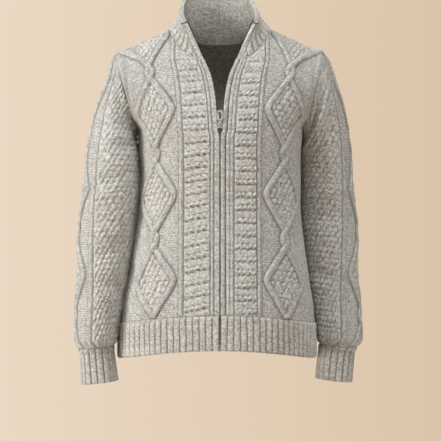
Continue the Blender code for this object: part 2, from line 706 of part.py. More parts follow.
# ---- collar --------------------------------------------------------------------------------------------
def neck_line(side):
    """The neck seam from the centre back to the front edge: points, normals and length.

    It runs straight between the wales that the panels are built on."""
    top = (np.array((1.0,)), np.array((1.0,)))
    points, normals = [], []
    for face, wales, last in ((1, BACK_WALES, NECK_WALE_BACK), (-1, FRONT_WALES, NECK_WALE_FRONT)):
        fine = np.linspace(wales[0][0], last, FINE_WALES)
        line, out, _ = torso_rows(side, face, place_wales, fine, 0.6, neck_level(face, fine), top)
        kept = [place for place, kind in wales if place < last and kind != "cable"]
        kept = np.array(kept[:-1] + [last])
        points.append(resample(line[0], fine, kept))
        normals.append(resample(out[0], fine, kept))
    points = np.concatenate((points[0][:-1], points[1][::-1]))
    normals = np.concatenate((normals[0][:-1], normals[1][::-1]))
    return points, unit(normals), travelled(points)


def collar_net(side, along, ups):
    """Rows of half the collar from the neck seam up, with outward normals."""
    seam, seam_out, length = neck_line(side)
    at = np.asarray(along) * length[-1]
    base = resample(seam, length, at)
    base_out = unit(resample(seam_out, length, at))
    tangent = unit(np.gradient(resample(seam, length, np.linspace(0, length[-1], 161)), axis=0))
    tangent = unit(resample(tangent, np.linspace(0, length[-1], 161), at))
    across = unit(np.cross(tangent, np.array((0.0, 0.0, 1.0))))
    across *= np.sign(np.sum(across * base, axis=1))[:, None]
    off = unit(np.cross(base_out, tangent))
    off *= -np.sign(np.sum(off * across, axis=1))[:, None]
    base = base + off * SEAM
    top = np.stack([read_table(COLLAR_TOP, COLLAR_COLUMNS, name, along)
                    for name in ("x_" + side, "y", "z")], axis=-1)
    ease = np.sin(np.asarray(along) * math.pi) ** 0.7
    hollow = across * ease[:, None] * COLLAR_HOLLOW
    net = np.array([base + (top - base) * up - hollow * 4 * up * (1 - up) for up in ups])
    normal = unit(np.cross(np.gradient(net, axis=1), np.gradient(net, axis=0)))
    normal *= np.sign(np.sum(normal * across, axis=2))[..., None]
    if ups[0] == 0:
        normal[0] = base_out
    return net, normal


def make_collar(mat):
    at, high = rib_profile(COLLAR_RIBS_HALF)
    nets = []
    for side in ("right", "left"):
        net, normal = collar_net(side, at, COLLAR_UPS)
        lift = np.repeat(high[None, :], len(COLLAR_UPS), axis=0)
        lift[0] *= 0.4
        thick = np.full(len(COLLAR_UPS), COLLAR_WALL)
        thick[0] = WALL
        nets.append((net + normal * lift[..., None], net - normal * thick[:, None, None]))
    joined = [np.concatenate((mirrored(right, "right")[:, :0:-1], left), axis=1)
              for right, left in zip(*nets)]
    wall("collar", mat, joined[0], joined[1], column_step=2)


# ---- zip ---------------------------------------------------------------------------------------------------
def make_tapes(mat):
    across = np.array(TAPE_LINES) * TAPE_WIDTH
    for side in ("right", "left"):
        low = (HEM_Z - RIB_TOP_Z + SEAM) / (UNDERARM_Z - RIB_TOP_Z)
        top = float(neck_level(-1, EDGE))
        levels = np.concatenate((np.linspace(low, 0.94, TAPE_ROWS), np.linspace(0.98, top, TAPE_ROWS)))
        net, normal = lay(side, -1, place_tape, across, levels)
        collar, collar_out = collar_net(side, 1 - np.array(TAPE_ON_COLLAR), TAPE_UPS)
        deep = np.concatenate((np.full(len(levels), WALL),
                               np.full(len(collar), COLLAR_WALL + TAPE_BEHIND_COLLAR)))
        net = np.concatenate((net, collar))
        normal = np.concatenate((normal, collar_out))
        face = net - normal * (deep + TAPE_GAP)[:, None, None]
        wall("zip_tape_" + side, mat, mirrored(face, side),
             mirrored(face - normal * TAPE_THICK, side))


def front_face_y(z):
    return -float(read_table(TORSO_ROWS, TORSO_COLUMNS, "front", z))


def prism(name, mat, outline, axis, low, high):
    """A closed body: an outline across two axes, run from low to high along the third."""
    def point(pair, at):
        spot = list(pair)
        spot.insert(axis, at)
        return tuple(spot)
    count = len(outline)
    verts = [point(pair, at) for at in (low, high) for pair in outline]
    faces = [tuple(range(count)), tuple(range(2 * count - 1, count - 1, -1))]
    faces += [(k, (k + 1) % count, count + (k + 1) % count, count + k) for k in range(count)]
    return add_mesh(name, mat, verts, faces)


def combine(target, tool, operation):
    """Join a helper body to a piece, or cut it out, and hide the helper."""
    step = target.modifiers.new(tool.name, "BOOLEAN")
    step.operation = operation
    step.object = tool
    tool.hide_render = True
    tool.display_type = "WIRE"


def arc(middle, radius, first, last, count):
    return [(middle[0] + radius * math.cos(first + (last - first) * k / count),
             middle[1] + radius * math.sin(first + (last - first) * k / count))
            for k in range(count + 1)]


def make_slider(mat):
    front = front_face_y(SLIDER_TOP_Z) - SLIDER_PROUD
    y = (front, front + PLATE, front + PLATE + SLIDER_CHANNEL, front + 2 * PLATE + SLIDER_CHANNEL)
    half, post = SLIDER_HALF, SLIDER_WAIST
    outline = [(-half, y[0]), (half, y[0]), (half, y[1]), (post, y[1]), (post, y[2]), (half, y[2]),
               (half, y[3]), (-half, y[3]), (-half, y[2]), (-post, y[2]), (-post, y[1]), (-half, y[1])]
    slider = prism("zip_slider", mat, outline, 2, SLIDER_TOP_Z - SLIDER_HEIGHT, SLIDER_TOP_Z)
    pivot = (front - PIVOT_OUT, SLIDER_TOP_Z - PIVOT_DOWN)
    root = front + PLATE / 2
    ear = arc(pivot, EAR_RADIUS, math.pi / 2, 3 * math.pi / 2, 8)
    ear += [(root, pivot[1] - EAR_RADIUS), (root, pivot[1] + EAR_RADIUS * 0.6)]
    for name, low, high in (("ear_cut_right", -EAR_OUT, -EAR_IN), ("ear_cut_left", EAR_IN, EAR_OUT)):
        combine(slider, prism(name, mat, ear, 0, low, high), "UNION")
    return pivot


def make_pull(mat, pivot):
    """The pull stands up on its pivot; it is drawn flat and then leant back."""
    low, high = PULL_SHOULDER
    tip, half, turn = PULL_LENGTH, PULL_HALF, PULL_ROUND
    side = [(PULL_NECK, 0.0), (PULL_NECK, low), (half, high)]
    side += arc((half - turn, tip - turn), turn, 0.0, math.pi / 2, 4)
    outline = side + [(-x, z) for x, z in reversed(side)]
    pull = prism("zip_pull", mat, outline, 1, -PULL_THICK / 2, PULL_THICK / 2)
    first, last = PULL_SLOT
    wide = PULL_SLOT_HALF
    slot = [(-wide, first), (wide, first), (wide, last), (-wide, last)]
    barrel = arc((0.0, 0.0), BARREL_RADIUS, 0.0, 2 * math.pi * 15 / 16, 15)
    slot_tool = prism("pull_slot_cut", mat, slot, 1, -PULL_THICK, PULL_THICK)
    barrel_tool = prism("pull_barrel_join", mat, barrel, 0, -PULL_NECK, PULL_NECK)
    for obj in (pull, slot_tool, barrel_tool):
        obj.location = (0.0, pivot[0], pivot[1])
        obj.rotation_euler = (-PULL_LEAN, 0.0, 0.0)
    combine(pull, slot_tool, "DIFFERENCE")
    combine(pull, barrel_tool, "UNION")


def make_end_box(mat):
    half, deep, tall = END_BOX
    bottom = HEM_Z + HEM_LIFT + END_BOX_UP
    face = front_face_y(HEM_Z) + SEAM
    outline = [(-half, face), (half, face), (half, face + deep), (-half, face + deep)]
    prism("zip_box", mat, outline, 2, bottom, bottom + tall)


def main():
    clear_scene()
    knit = material("marl_knit", KNIT)
    rib = material("marl_rib", RIB)
    metal = material("dark_metal", METAL)
    make_fronts(knit)
    make_back(knit)
    make_sleeves(knit)
    make_hem(rib)
    make_cuffs(rib)
    make_collar(rib)
    make_tapes(material("zip_tape_cloth", TAPE))
    pivot = make_slider(metal)
    make_pull(metal, pivot)
    make_end_box(metal)


main()
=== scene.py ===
import json
import math

import bmesh
import bpy
import numpy as np
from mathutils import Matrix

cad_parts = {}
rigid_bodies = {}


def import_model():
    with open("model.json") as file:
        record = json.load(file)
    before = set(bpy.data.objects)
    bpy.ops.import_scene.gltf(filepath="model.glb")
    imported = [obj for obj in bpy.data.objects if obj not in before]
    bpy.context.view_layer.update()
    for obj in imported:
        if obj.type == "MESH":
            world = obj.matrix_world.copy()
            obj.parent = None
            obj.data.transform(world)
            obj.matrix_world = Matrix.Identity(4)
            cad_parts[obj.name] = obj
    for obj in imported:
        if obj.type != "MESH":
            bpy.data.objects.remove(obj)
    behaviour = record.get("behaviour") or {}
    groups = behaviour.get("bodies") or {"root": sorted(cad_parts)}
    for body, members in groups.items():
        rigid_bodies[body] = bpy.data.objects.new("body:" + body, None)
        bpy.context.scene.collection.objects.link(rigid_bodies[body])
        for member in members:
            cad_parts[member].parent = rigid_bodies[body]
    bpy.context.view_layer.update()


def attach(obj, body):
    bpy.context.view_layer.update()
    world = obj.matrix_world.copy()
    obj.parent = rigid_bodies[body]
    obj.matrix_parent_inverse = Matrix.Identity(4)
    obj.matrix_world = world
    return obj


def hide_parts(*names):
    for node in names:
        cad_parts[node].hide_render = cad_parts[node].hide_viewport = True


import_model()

# camera, light and floor
cameraSet = {"away": 3.2, "x": 0.001, "z": -0.361, "lens": 137.4, "sensor": 36.0}
floorSet = {"z": -1.40, "radius": 4.5, "segments": 96, "grain": 3.0, "rough": 0.9, "specular": 0.1,
            "colour": (0.74, 0.63, 0.52, 1), "darker": 0.97, "shown": (0.44, 0.36, 0.285, 1)}
lampColour = (1.0, 0.99, 0.975)
lamps = (  # place, aimed at, width, height, watts
    ((-3.1, -1.7, 0.8), (0.0, 0.0, -0.33), 1.1, 1.4, 82),
    ((-3.1, -1.6, -0.8), (0.0, 0.0, -0.50), 1.4, 1.4, 42),
    ((0.0, -1.2, 3.0), (0.0, 0.0, -0.30), 1.6, 1.6, 80),
    ((2.6, -1.6, 0.5), (0.0, 0.0, -0.35), 1.6, 1.8, 32),
    ((0.6, 3.0, 1.4), (0.0, 0.0, -0.30), 1.8, 1.6, 34),
)
roomSet = {"left": (0.835, 0.690, 0.552, 1), "right": (0.705, 0.555, 0.400, 1), "steep": 3.8,
           "strength": 1.0, "glow": (0.90, 0.89, 0.87, 1), "light": 0.10}


def linked(name, data):
    obj = bpy.data.objects.new(name, data)
    bpy.context.scene.collection.objects.link(obj)
    return obj


def makeCamera():
    camera = bpy.data.cameras.new("studioCamera")
    camera.lens, camera.sensor_width = cameraSet["lens"], cameraSet["sensor"]
    holder = linked("studioCamera", camera)
    holder.location = (cameraSet["x"], -cameraSet["away"], cameraSet["z"])
    holder.rotation_euler = (math.pi / 2, 0, 0)
    bpy.context.scene.camera = holder


def makeLamps():
    for k, (place, target, wide, tall, watts) in enumerate(lamps):
        lamp = bpy.data.lights.new("softLight%d" % k, "AREA")
        lamp.shape, lamp.size, lamp.size_y = "RECTANGLE", wide, tall
        lamp.energy, lamp.color = watts, lampColour
        obj = linked(lamp.name, lamp)
        obj.location = place
        x, y, z = (to - at for to, at in zip(target, place))
        obj.rotation_euler = (math.atan2(math.hypot(x, y), -z), 0, math.atan2(-x, y))


def makeFloor():
    turns = [2 * math.pi * k / floorSet["segments"] for k in range(floorSet["segments"])]
    radius = floorSet["radius"]
    rim = [(radius * math.cos(a), radius * math.sin(a), floorSet["z"]) for a in turns]
    mesh = bpy.data.meshes.new("studioFloor")
    mesh.from_pydata(rim, [], [tuple(range(len(rim)))])
    paint = Paint("palePaper")
    grain = paint.node("ShaderNodeTexNoise", {}, {"Scale": floorSet["grain"], "Detail": 2.0})
    darker = tuple(part * floorSet["darker"] for part in floorSet["colour"])
    paint.shader({"Base Color": paint.mix(grain, floorSet["colour"], darker),
                  "Roughness": floorSet["rough"], "Specular IOR Level": floorSet["specular"],
                  "Emission Strength": 1.0,
                  "Emission Color": paint.mix(paint.cameraRay(), (0, 0, 0, 1), floorSet["shown"])})
    mesh.materials.append(paint.mat)
    floor = linked("studioFloor", mesh)


def makeRoom():  # the camera sees the backdrop with painted light, lighter on the left and darker on the right; the garment gets a faint even glow
    world = bpy.data.worlds.new("paleRoom")
    world.use_nodes = True
    bpy.context.scene.world = world
    paint = Paint(world.name, world.node_tree)
    # painted light: the backdrop is lighter on the left, where the light falls, and darker towards the right
    across = (paint.part(paint.place("Generated"), 0) * roomSet["steep"] + 0.5).clamped()
    colour = paint.mix(across, roomSet["left"], roomSet["right"])
    seen, glow = (paint.node("ShaderNodeBackground", {}, {"Color": tone, "Strength": strength})
                  for tone, strength in ((colour, roomSet["strength"]), (roomSet["glow"], roomSet["light"])))
    both = paint.node("ShaderNodeMixShader", {}, [paint.cameraRay(), glow, seen])
    paint.tree.links.new(both.socket, paint.tree.nodes["World Output"].inputs["Surface"])


# shader maths: a value wraps a socket, and an expression on values adds its Math nodes
class Value:
    def __init__(self, paint, socket):
        self.paint, self.socket = paint, socket

    def math(self, operation, *others):
        return self.paint.node("ShaderNodeMath", {"operation": operation}, [self, *others])

    def __add__(self, other):
        return self.math("ADD", other)

    def __mul__(self, other):
        return self.math("MULTIPLY", other)

    def __sub__(self, other):
        return self.math("SUBTRACT", other)

    def __rsub__(self, other):
        return self.paint.node("ShaderNodeMath", {"operation": "SUBTRACT"}, [other, self])

    def __truediv__(self, other):
        return self.math("DIVIDE", other)

    def __pow__(self, other):
        return self.math("POWER", other)

    __radd__, __rmul__ = __add__, __mul__

    def clamped(self):
        return self.math("MINIMUM", 1.0).math("MAXIMUM", 0.0)

    def humps(self):  # rounded rises, one to each whole number
        return (self * math.pi).math("SINE").math("ABSOLUTE")


class Paint:
    def __init__(self, name, tree=None):
        if tree is None:
            self.mat = bpy.data.materials.new(name)
            self.mat.use_nodes = True
            tree = self.mat.node_tree
        self.tree = tree

    def feed(self, made, values):
        pairs = values.items() if isinstance(values, dict) else enumerate(values)
        for key, value in pairs:
            if isinstance(value, Value):
                self.tree.links.new(value.socket, made.inputs[key])
            else:
                made.inputs[key].default_value = value

    def node(self, kind, settings, values, output=0):
        made = self.tree.nodes.new(kind)
        for name, value in settings.items():
            setattr(made, name, value)
        self.feed(made, values)
        return Value(self, made.outputs[output])

    def mix(self, factor, first, second, blend="MIX"):
        return self.node("ShaderNodeMix", {"data_type": "RGBA", "blend_type": blend, "clamp_factor": True},
                         {0: factor, 6: first, 7: second}, 2)

    def noise(self, where, scale, detail=2.0, rough=0.5):
        return self.node("ShaderNodeTexNoise", {}, {"Vector": where, "Scale": scale, "Detail": detail,
                                                    "Roughness": rough})

    def part(self, vector, k):
        return self.node("ShaderNodeSeparateXYZ", {}, [vector], k)

    def place(self, kind="Object"):
        return self.node("ShaderNodeTexCoord", {}, {}, kind)

    def cameraRay(self):
        return self.node("ShaderNodeLightPath", {}, {}, "Is Camera Ray")

    def bump(self, height, deep, strength=1.0):
        return self.node("ShaderNodeBump", {}, {"Strength": strength, "Distance": deep, "Height": height})

    def shader(self, values):
        self.feed(self.tree.nodes["Principled BSDF"], values)


makeCamera()
makeLamps()
makeFloor()
makeRoom()
bpy.context.scene.view_settings.view_transform = "Standard"
print("stage: studio")

# form of the garment, as the solids have it
torsoRows = (
    ("z", "rightHalf", "leftHalf", "front", "back"),
    (-0.619, 0.1915, 0.1800, 0.1400, 0.1290),
    (-0.551, 0.1905, 0.1790, 0.1380, 0.1290),
    (-0.475, 0.1795, 0.1700, 0.1310, 0.1250),
    (-0.400, 0.1660, 0.1592, 0.1245, 0.1160),
    (-0.323, 0.1555, 0.1530, 0.1200, 0.1070),
    (-0.250, 0.1535, 0.1535, 0.1210, 0.1080),
    (-0.190, 0.1570, 0.1570, 0.1220, 0.1120),
)
form = {"wall": 0.003, "collarWall": 0.004, "seam": 0.0003, "hemZ": -0.619, "ribTopZ": -0.551,
        "underarmZ": -0.190, "underarmX": 0.157, "round": 2.3, "hemLift": 0.021, "neckHalf": 0.097,
        "shoulderHalf": 0.200, "shoulderDrop": 0.047, "shoulderEase": 0.010, "rollFront": 1.35,
        "rollBack": 2.2, "armFront": 0.060, "armBack": 0.065, "edge": 0.002, "side": 0.250, "free": 0.165,
        "neckWaleFront": 0.0835, "neckWaleBack": 0.097, "neckCurve": 2.2, "neckDropFront": 0.063,
        "neckDropBack": 0.020, "sectionPoints": 161, "levels": 221}
openingRows = (  # distance of each edge from the middle
    ("z", "cloth", "tape"),
    (-0.650, 0.0020, 0.0014),
    (-0.215, 0.0020, 0.0014),
    (-0.205, 0.0026, 0.0014),
    (-0.194, 0.0054, 0.0014),
    (-0.181, 0.0058, 0.0016),
    (-0.168, 0.0066, 0.0038),
    (-0.150, 0.0080, 0.0070),
    (-0.131, 0.0100, 0.0092),
    (-0.094, 0.0175, 0.0167),
    (-0.063, 0.0300, 0.0292),
)


def smooth(key, value, at):  # monotone curve through a table's values
    rise = np.diff(value) / np.diff(key)
    both = rise[:-1] * rise[1:]
    middle = np.where(both > 0, 2 * both / np.where(both > 0, rise[:-1] + rise[1:], 1.0), 0.0)
    slope = np.concatenate((rise[:1], middle, rise[-1:]))
    at = np.clip(np.asarray(at, float), key[0], key[-1])
    i = np.clip(np.searchsorted(key, at) - 1, 0, len(key) - 2)
    span = key[i + 1] - key[i]
    t = (at - key[i]) / span
    return ((2 * t ** 3 - 3 * t ** 2 + 1) * value[i] + (t ** 3 - 2 * t ** 2 + t) * span * slope[i]
            + (3 * t ** 2 - 2 * t ** 3) * value[i + 1] + (t ** 3 - t ** 2) * span * slope[i + 1])


def faced(name, face):  # a measure of the front, face -1, or of the back, face 1
    return form[name + ("Front" if face < 0 else "Back")]


def column(rows, name):
    return np.array([row[rows[0].index(name)] for row in rows[1:]], float)


def readTable(rows, name, at):
    return smooth(column(rows, rows[0][0]), column(rows, name), at)


def unit(vectors):
    vectors = np.asarray(vectors, float)
    return vectors / np.maximum(np.linalg.norm(vectors, axis=-1, keepdims=True), 1e-12)


def travelled(points):
    return np.concatenate(([0.0], np.cumsum(np.linalg.norm(np.diff(points, axis=0), axis=1))))


def resample(points, where, at):
    return np.stack([np.interp(at, where, points[:, k]) for k in range(points.shape[1])], axis=-1)


def step01(low, high, x):  # 0 below low, 1 above high, eased between
    t = np.clip((np.asarray(x, float) - low) / (high - low), 0, 1)
    return t * t * (3 - 2 * t)


def bell(x, half):
    return np.exp(-(x / half) ** 2)


def filled(values, grid):  # values repeated over the rows and columns of a grid of points
    return np.broadcast_to(values, grid.shape[:2]).copy()


shoulderTip = np.array((form["shoulderHalf"], 0.0, -form["shoulderDrop"]))
underarm = np.array((form["underarmX"], 0.0, form["underarmZ"]))
armUp = unit(shoulderTip - underarm)
armOut = np.array((armUp[2], 0.0, -armUp[0]))
armMid = (shoulderTip + underarm) / 2
armHalf = np.linalg.norm(shoulderTip - underarm) / 2


def shoulderZ(x):
    over = x - form["neckHalf"]
    slope = form["shoulderDrop"] / (form["shoulderHalf"] - form["neckHalf"])
    return -slope * (np.sqrt(over ** 2 + form["shoulderEase"] ** 2) + over) / 2


def armEdge(t):
    x = form["shoulderHalf"]
    for _ in range(20):
        z = form["underarmZ"] + (shoulderZ(x) - form["underarmZ"]) * t
        x = form["underarmX"] + (z - form["underarmZ"]) * armUp[0] / armUp[2]
    return x, z


def sectionLine(side, face, level):  # centre to side, at the rib top 0, the underarm 1 or the shoulder 2
    depthName = "front" if face < 0 else "back"
    power = 2 / form["round"]
    low, high = form["ribTopZ"], form["underarmZ"]
    if level <= 1:
        z = low + (high - low) * level
        half = float(readTable(torsoRows, side + "Half", z))
        deep = float(readTable(torsoRows, depthName, z))
        turn = np.linspace(0, math.pi / 2, form["sectionPoints"])
        x = half * np.sin(turn) ** power
        lift = form["hemLift"] * (high - z) / (high - form["hemZ"]) if face < 0 else 0.0
        height = z + lift * (1 - (x / half) ** 2)
    else:
        t = math.sin((level - 1) * math.pi / 2)
        shapeT = min(t, 0.9995)
        chest = column(torsoRows, depthName)[-1]
        roll = faced("roll", face)
        up = (armEdge(shapeT)[1] - armMid[2]) / (armHalf * armUp[2])
        share = faced("arm", face) * math.sqrt(max(1 - up ** 2, 0.0))
        share /= chest * math.sqrt(1 - shapeT ** roll)
        edgeX = armEdge(t)[0]
        half = edgeX / (1 - min(share, 0.88) ** form["round"]) ** (1 / form["round"])
        turn = np.linspace(0, math.asin((edgeX / half) ** (form["round"] / 2)), form["sectionPoints"])
        x = half * np.sin(turn) ** power
        height = high + (shoulderZ(x) - high) * t
        deep = chest * math.sqrt(max(1 - t ** roll, 0.0))
    return np.stack([x, face * deep * np.abs(np.cos(turn)) ** power, height], axis=-1)


def neckLevel(face, wales):
    first = form["edge"] if face < 0 else 0.0
    across = np.clip((np.asarray(wales, float) - first) / (faced("neckWale", face) - first), 0, 1)
    down = faced("neckDrop", face) / form["underarmZ"] * (1 - across ** form["neckCurve"])
    return 1 + np.arcsin(1 + down) * 2 / math.pi


def placeWales(face, line, wales):
    free, side = form["free"], form["side"]
    opened = 0.0
    if face < 0:
        opened = float(readTable(openingRows, "cloth", line[0, 2])) - form["edge"]
    outer = free + (wales - free) * (travelled(line)[-1] - free) / (side - free)
    return np.where(wales <= free, wales + opened * (1 - wales / free), outer)


def placeTape(face, line, across):
    return float(readTable(openingRows, "tape", line[0, 2])) + across


def layNet(side, face, places, wales, levels):
    net = np.empty((len(levels), len(wales), 3))
    for k, level in enumerate(levels):
        line = sectionLine(side, face, level)
        net[k] = resample(line, travelled(line), places(face, line, wales))
    turned = -face * np.sign(levels[-1] - levels[0])
    return net, unit(np.cross(np.gradient(net, axis=1), np.gradient(net, axis=0))) * turned


def torsoNet(side, face, wales, low, tops, shares):
    levels = np.linspace(low, 2, form["levels"])
    net, normal = layNet(side, face, placeWales, wales, levels)
    points = np.empty((len(shares[0]), len(wales), 3))
    normals, heights = np.empty_like(points), np.empty(points.shape[:2])
    for k in range(len(wales)):
        along = travelled(net[:, k])
        under = np.interp(min(1.0, tops[k]), levels, along)
        top = np.interp(tops[k], levels, along)
        at = under * shares[0] + (top - under) * shares[1]
        points[:, k] = resample(net[:, k], along, at)
        normals[:, k] = unit(resample(normal[:, k], along, at))
        heights[:, k] = at
    return points, normals, heights


def armInward(points, face):
    up = (points - armMid) @ armUp / armHalf ** 2
    deep = points[:, 1] / faced("arm", face) ** 2
    away = up[:, None] * armUp + deep[:, None] * np.array((0.0, 1.0, 0.0))
    return -unit(away)


def mirrored(points, side):
    return points if side == "left" else points * np.array((-1.0, 1.0, 1.0))


# stitches: relief in metres over a net of wales w and heights h
stitchSet = {"cableCentre": 0.127, "reach": 0.040, "meet": 0.0053, "bend": 0.13, "kink": 0.12,
             "pitch": 0.158, "knotAt": -0.012, "crossAt": 0.0160, "crossHalf": 0.010, "cross": 0.0013,
             "strandHalf": 0.0062, "strandHigh": 0.0040, "gutter": 0.0006, "topKnot": 3, "pressed": 0.39,
             "partEase": 0.008, "lineStep": 0.0005,
             "bumpWide": 0.0122, "bumpTall": 0.0102, "bumpHigh": 0.0033, "columnWide": 0.0043,
             "hollowShadeReach": 3, "hollowShadeDeep": 0.0014}
pebbleSet = {"halfWide": 0.53, "halfTall": 0.64, "square": 2.3, "dome": 0.6, "astray": 0.07, "askew": 0.08,
             "uneven": 0.22}
ladderSet = {"pitch": 0.0238, "across": 4.3, "bed": 0.0014, "loopAt": 0.0048, "loopHalf": 0.0030,
             "loopHigh": 0.0025, "loopLean": 0.004, "tuckHalf": 0.0018, "tuckDeep": 0.0033, "foldAt": 0.0102,
             "foldHalf": 0.0014, "foldDeep": 0.0016, "plainFrom": 0.0095, "plainFull": 0.0115,
             "plainHigh": 0.0004, "rowHigh": 0.0003, "dip": 0.0011, "sway": 0.0016, "warp": 0.0012,
             "broken": 0.45, "uneven": 0.30, "fade": 0.0022}


def ridge(d, half, high, power):
    return high * np.clip(1 - (d / half) ** 2, 0, 1) ** power


def softNoise(a, b, size, seed):  # smooth value noise from -1 to 1
    table = np.random.default_rng(seed).uniform(-1, 1, (97, 97))
    x, y = a / size + 31.7, b / size + 17.3
    i, j = np.floor(x).astype(int), np.floor(y).astype(int)
    fx, fy = (part * part * (3 - 2 * part) for part in (x - i, y - j))
    i, j = i % 96, j % 96
    low = table[i, j] * (1 - fx) + table[i + 1, j] * fx
    high = table[i, j + 1] * (1 - fx) + table[i + 1, j + 1] * fx
    return low * (1 - fy) + high * fy


def pebbles(w, h, wide, tall, lean, seed):  # staggered rounded bumps from 0 to 1, no two alike
    k = pebbleSet
    table = np.random.default_rng(seed).uniform(-1, 1, (3, 97, 97))
    lift = np.zeros_like(w)
    for extra in (0, 1):
        row = np.floor(h / tall) + extra
        local = h - row * tall
        across = (w + lean * local) / wide + 0.5 * (row % 2)
        col = np.round(across)
        i, j = (row % 97).astype(int), (col % 97).astype(int)
        dx = (across - col + k["astray"] * table[0][i, j]) / k["halfWide"]
        dy = (local / tall + k["askew"] * table[1][i, j]) / k["halfTall"]
        bump = np.clip(1 - np.abs(dx) ** k["square"] - np.abs(dy) ** k["square"], 0, 1) ** k["dome"]
        lift = np.maximum(lift, bump * (1 + k["uneven"] * table[2][i, j]))
    return lift


def creaseField(w, h, creases):  # soft troughs and ridges from one place to another
    total = np.zeros_like(w)
    for w0, h0, w1, h1, half, high in creases:
        dw, dh = w1 - w0, h1 - h0
        along = np.clip(((w - w0) * dw + (h - h0) * dh) / (dw * dw + dh * dh), 0, 1)
        apart = np.hypot(w - w0 - dw * along, h - h0 - dh * along)
        total += high * bell(apart, half) * (0.25 + 0.75 * np.sin(math.pi * along))
    return total


class Stitches:
    def __init__(self, w, h, seed):
        self.w, self.h, self.seed = w, h, seed
        self.high = np.zeros_like(w)
        self.u, self.v = w.copy(), h.copy()
        self.knit, self.purl = np.zeros_like(w), np.ones_like(w)

    def noise(self, size, step=0):
        return softNoise(self.w, self.h, size, self.seed + step)

    def put(self, on, high, u, v, knit=1.0, purl=0.0):
        self.high = np.where(on, high, self.high)
        self.u, self.v = np.where(on, u, self.u), np.where(on, v, self.v)
        self.knit, self.purl = np.where(on, knit, self.knit), np.where(on, purl, self.purl)

    def groove(self, at, half, deep):
        self.high = self.high - deep * bell(self.w - at, half)

    def rib(self, at, half, high):
        d = self.w - at
        self.put(np.abs(d) < half, ridge(d, half, high, 0.6), d, self.h)

    def band(self, low, top, high):  # smooth knit columns
        edge = np.minimum(self.w - low, top - self.w)
        self.put(edge > 0, high * step01(0, 0.0016, edge), self.w - low, self.h)

    def bumps(self, on, share, lean):
        lift = pebbles(self.w + 0.0010 * self.noise(0.014, 7), self.h + 0.0010 * self.noise(0.016, 8),
                       stitchSet["bumpWide"], stitchSet["bumpTall"], lean, self.seed)
        self.put(on, self.high + (lift - 0.25) * stitchSet["bumpHigh"] * share, self.w, self.h, 0.25, 0.10)

    def ladder(self, low, top, start, rise, lean):  # rungs: wavy tucks under a row of loops
        k = ladderSet
        pitch = k["pitch"]
        wave = 2 * math.pi * (self.w - low + k["sway"] * self.noise(0.014, 6)) / ((top - low) / k["across"])
        dip = k["dip"] * (np.cos(wave) + 0.4 * np.sin(2 * wave) * np.sign(lean))
        level = (self.h + rise * (self.w - top) + k["warp"] * self.noise(0.012, 5) - dip - start) / pitch
        up = (level - np.floor(level)) * pitch          # height above the tuck below
        slant = wave + lean * up / k["loopLean"]
        loops = bell(up - k["loopAt"], k["loopHalf"]) * (0.62 + 0.38 * np.cos(slant))
        plain = step01(k["plainFrom"], k["plainFull"], up) * step01(pitch - 0.001, pitch - 0.003, up)
        rows = plain * (k["plainHigh"] + k["rowHigh"] * np.cos(2 * math.pi * up / stitchSet["columnWide"]))
        broken = 1 + k["broken"] * self.noise(0.0045, 9) - k["broken"] * step01(0.38, 0.46, self.h)
        tuck = bell(np.minimum(up, pitch - up), k["tuckHalf"]) * (0.60 + 0.40 * np.cos(wave + 0.9)) * broken
        fold = bell(up - k["foldAt"], k["foldHalf"]) * (0.6 + 0.4 * np.cos(wave + 2.6))
        lift = k["bed"] + k["loopHigh"] * loops + rows - k["tuckDeep"] * tuck - k["foldDeep"] * fold
        lift = lift * (1 + k["uneven"] * self.noise(0.009))
        share = step01(0, k["fade"], self.w - low) * step01(0, k["fade"], top - self.w)
        self.put((self.w > low) & (self.w < top), lift * share, self.w + lean * up, self.h, 0.3, 0.2)

    def cable(self, centre, knotAt, reach, over, lean, arms=None):
        k = stitchSet
        line = np.arange(-0.03, 0.80, k["lineStep"])
        turns = (line - knotAt) / k["pitch"]
        near = (turns - np.round(turns)) * k["pitch"]
        share = np.abs(near) / (k["pitch"] / 2)
        share = (np.sqrt(share ** 2 + k["kink"] ** 2) - k["kink"]) / (math.hypot(1, k["kink"]) - k["kink"])
        rest = np.sqrt((1 - share) ** 2 + k["bend"] ** 2) - k["bend"]
        share = 1 - rest / (math.hypot(1, k["bend"]) - k["bend"])
        first = -k["meet"] + (reach + k["meet"]) * share
        routes = [first, -first]
        if arms is not None:                            # above the top knot the strands run apart
            above = line - (knotAt + k["topKnot"] * k["pitch"])
            near = np.where(above > 0, above, near)
            wide = form["free"] - centre
            for n, (slope, sign) in enumerate(zip(arms, (1, -1))):
                far = slope * (np.hypot(above, k["partEase"]) - k["partEase"]) - k["meet"]
                far = np.where(far > wide, wide + (far - wide) * k["pressed"], far)
                routes[n] = np.where(above > 0, sign * far, routes[n])
        lift = over * k["cross"] * (bell(near - k["crossAt"], k["crossHalf"])
                                    - bell(near + k["crossAt"], k["crossHalf"]))

        def here(values):
            return np.interp(self.h, line, values)
        away = self.w - centre
        edge = np.where(away > 0, here(routes[0]) - away, away - here(routes[1])) - k["strandHalf"] * 0.9
        self.bumps(edge > 0, step01(0, 0.003, edge), lean)
        beside = np.full_like(self.w, 1.0)
        strands = []
        for route, sign in zip(routes, (1, -1)):
            slope = np.gradient(route, line)
            d = (away - here(route)) * np.cos(np.arctan(here(slope)))
            body = ridge(d, k["strandHalf"], k["strandHigh"], 0.55) + sign * here(lift)
            body = np.where(np.abs(d) < k["strandHalf"], body, -1.0)
            strands.append((body, d, here(np.cumsum(np.hypot(1, slope)) * k["lineStep"])))
            beside = np.minimum(beside, np.abs(d) - k["strandHalf"])
        for (body, d, along), (other, _, _) in zip(strands, strands[::-1]):
            self.put((body > -0.5) & (body >= other), body, d + k["columnWide"] / 2, along)
        gap = (beside > 0) & (beside < 0.006)
        self.high = np.where(gap, self.high - k["gutter"] * bell(beside, 0.0018), self.high)

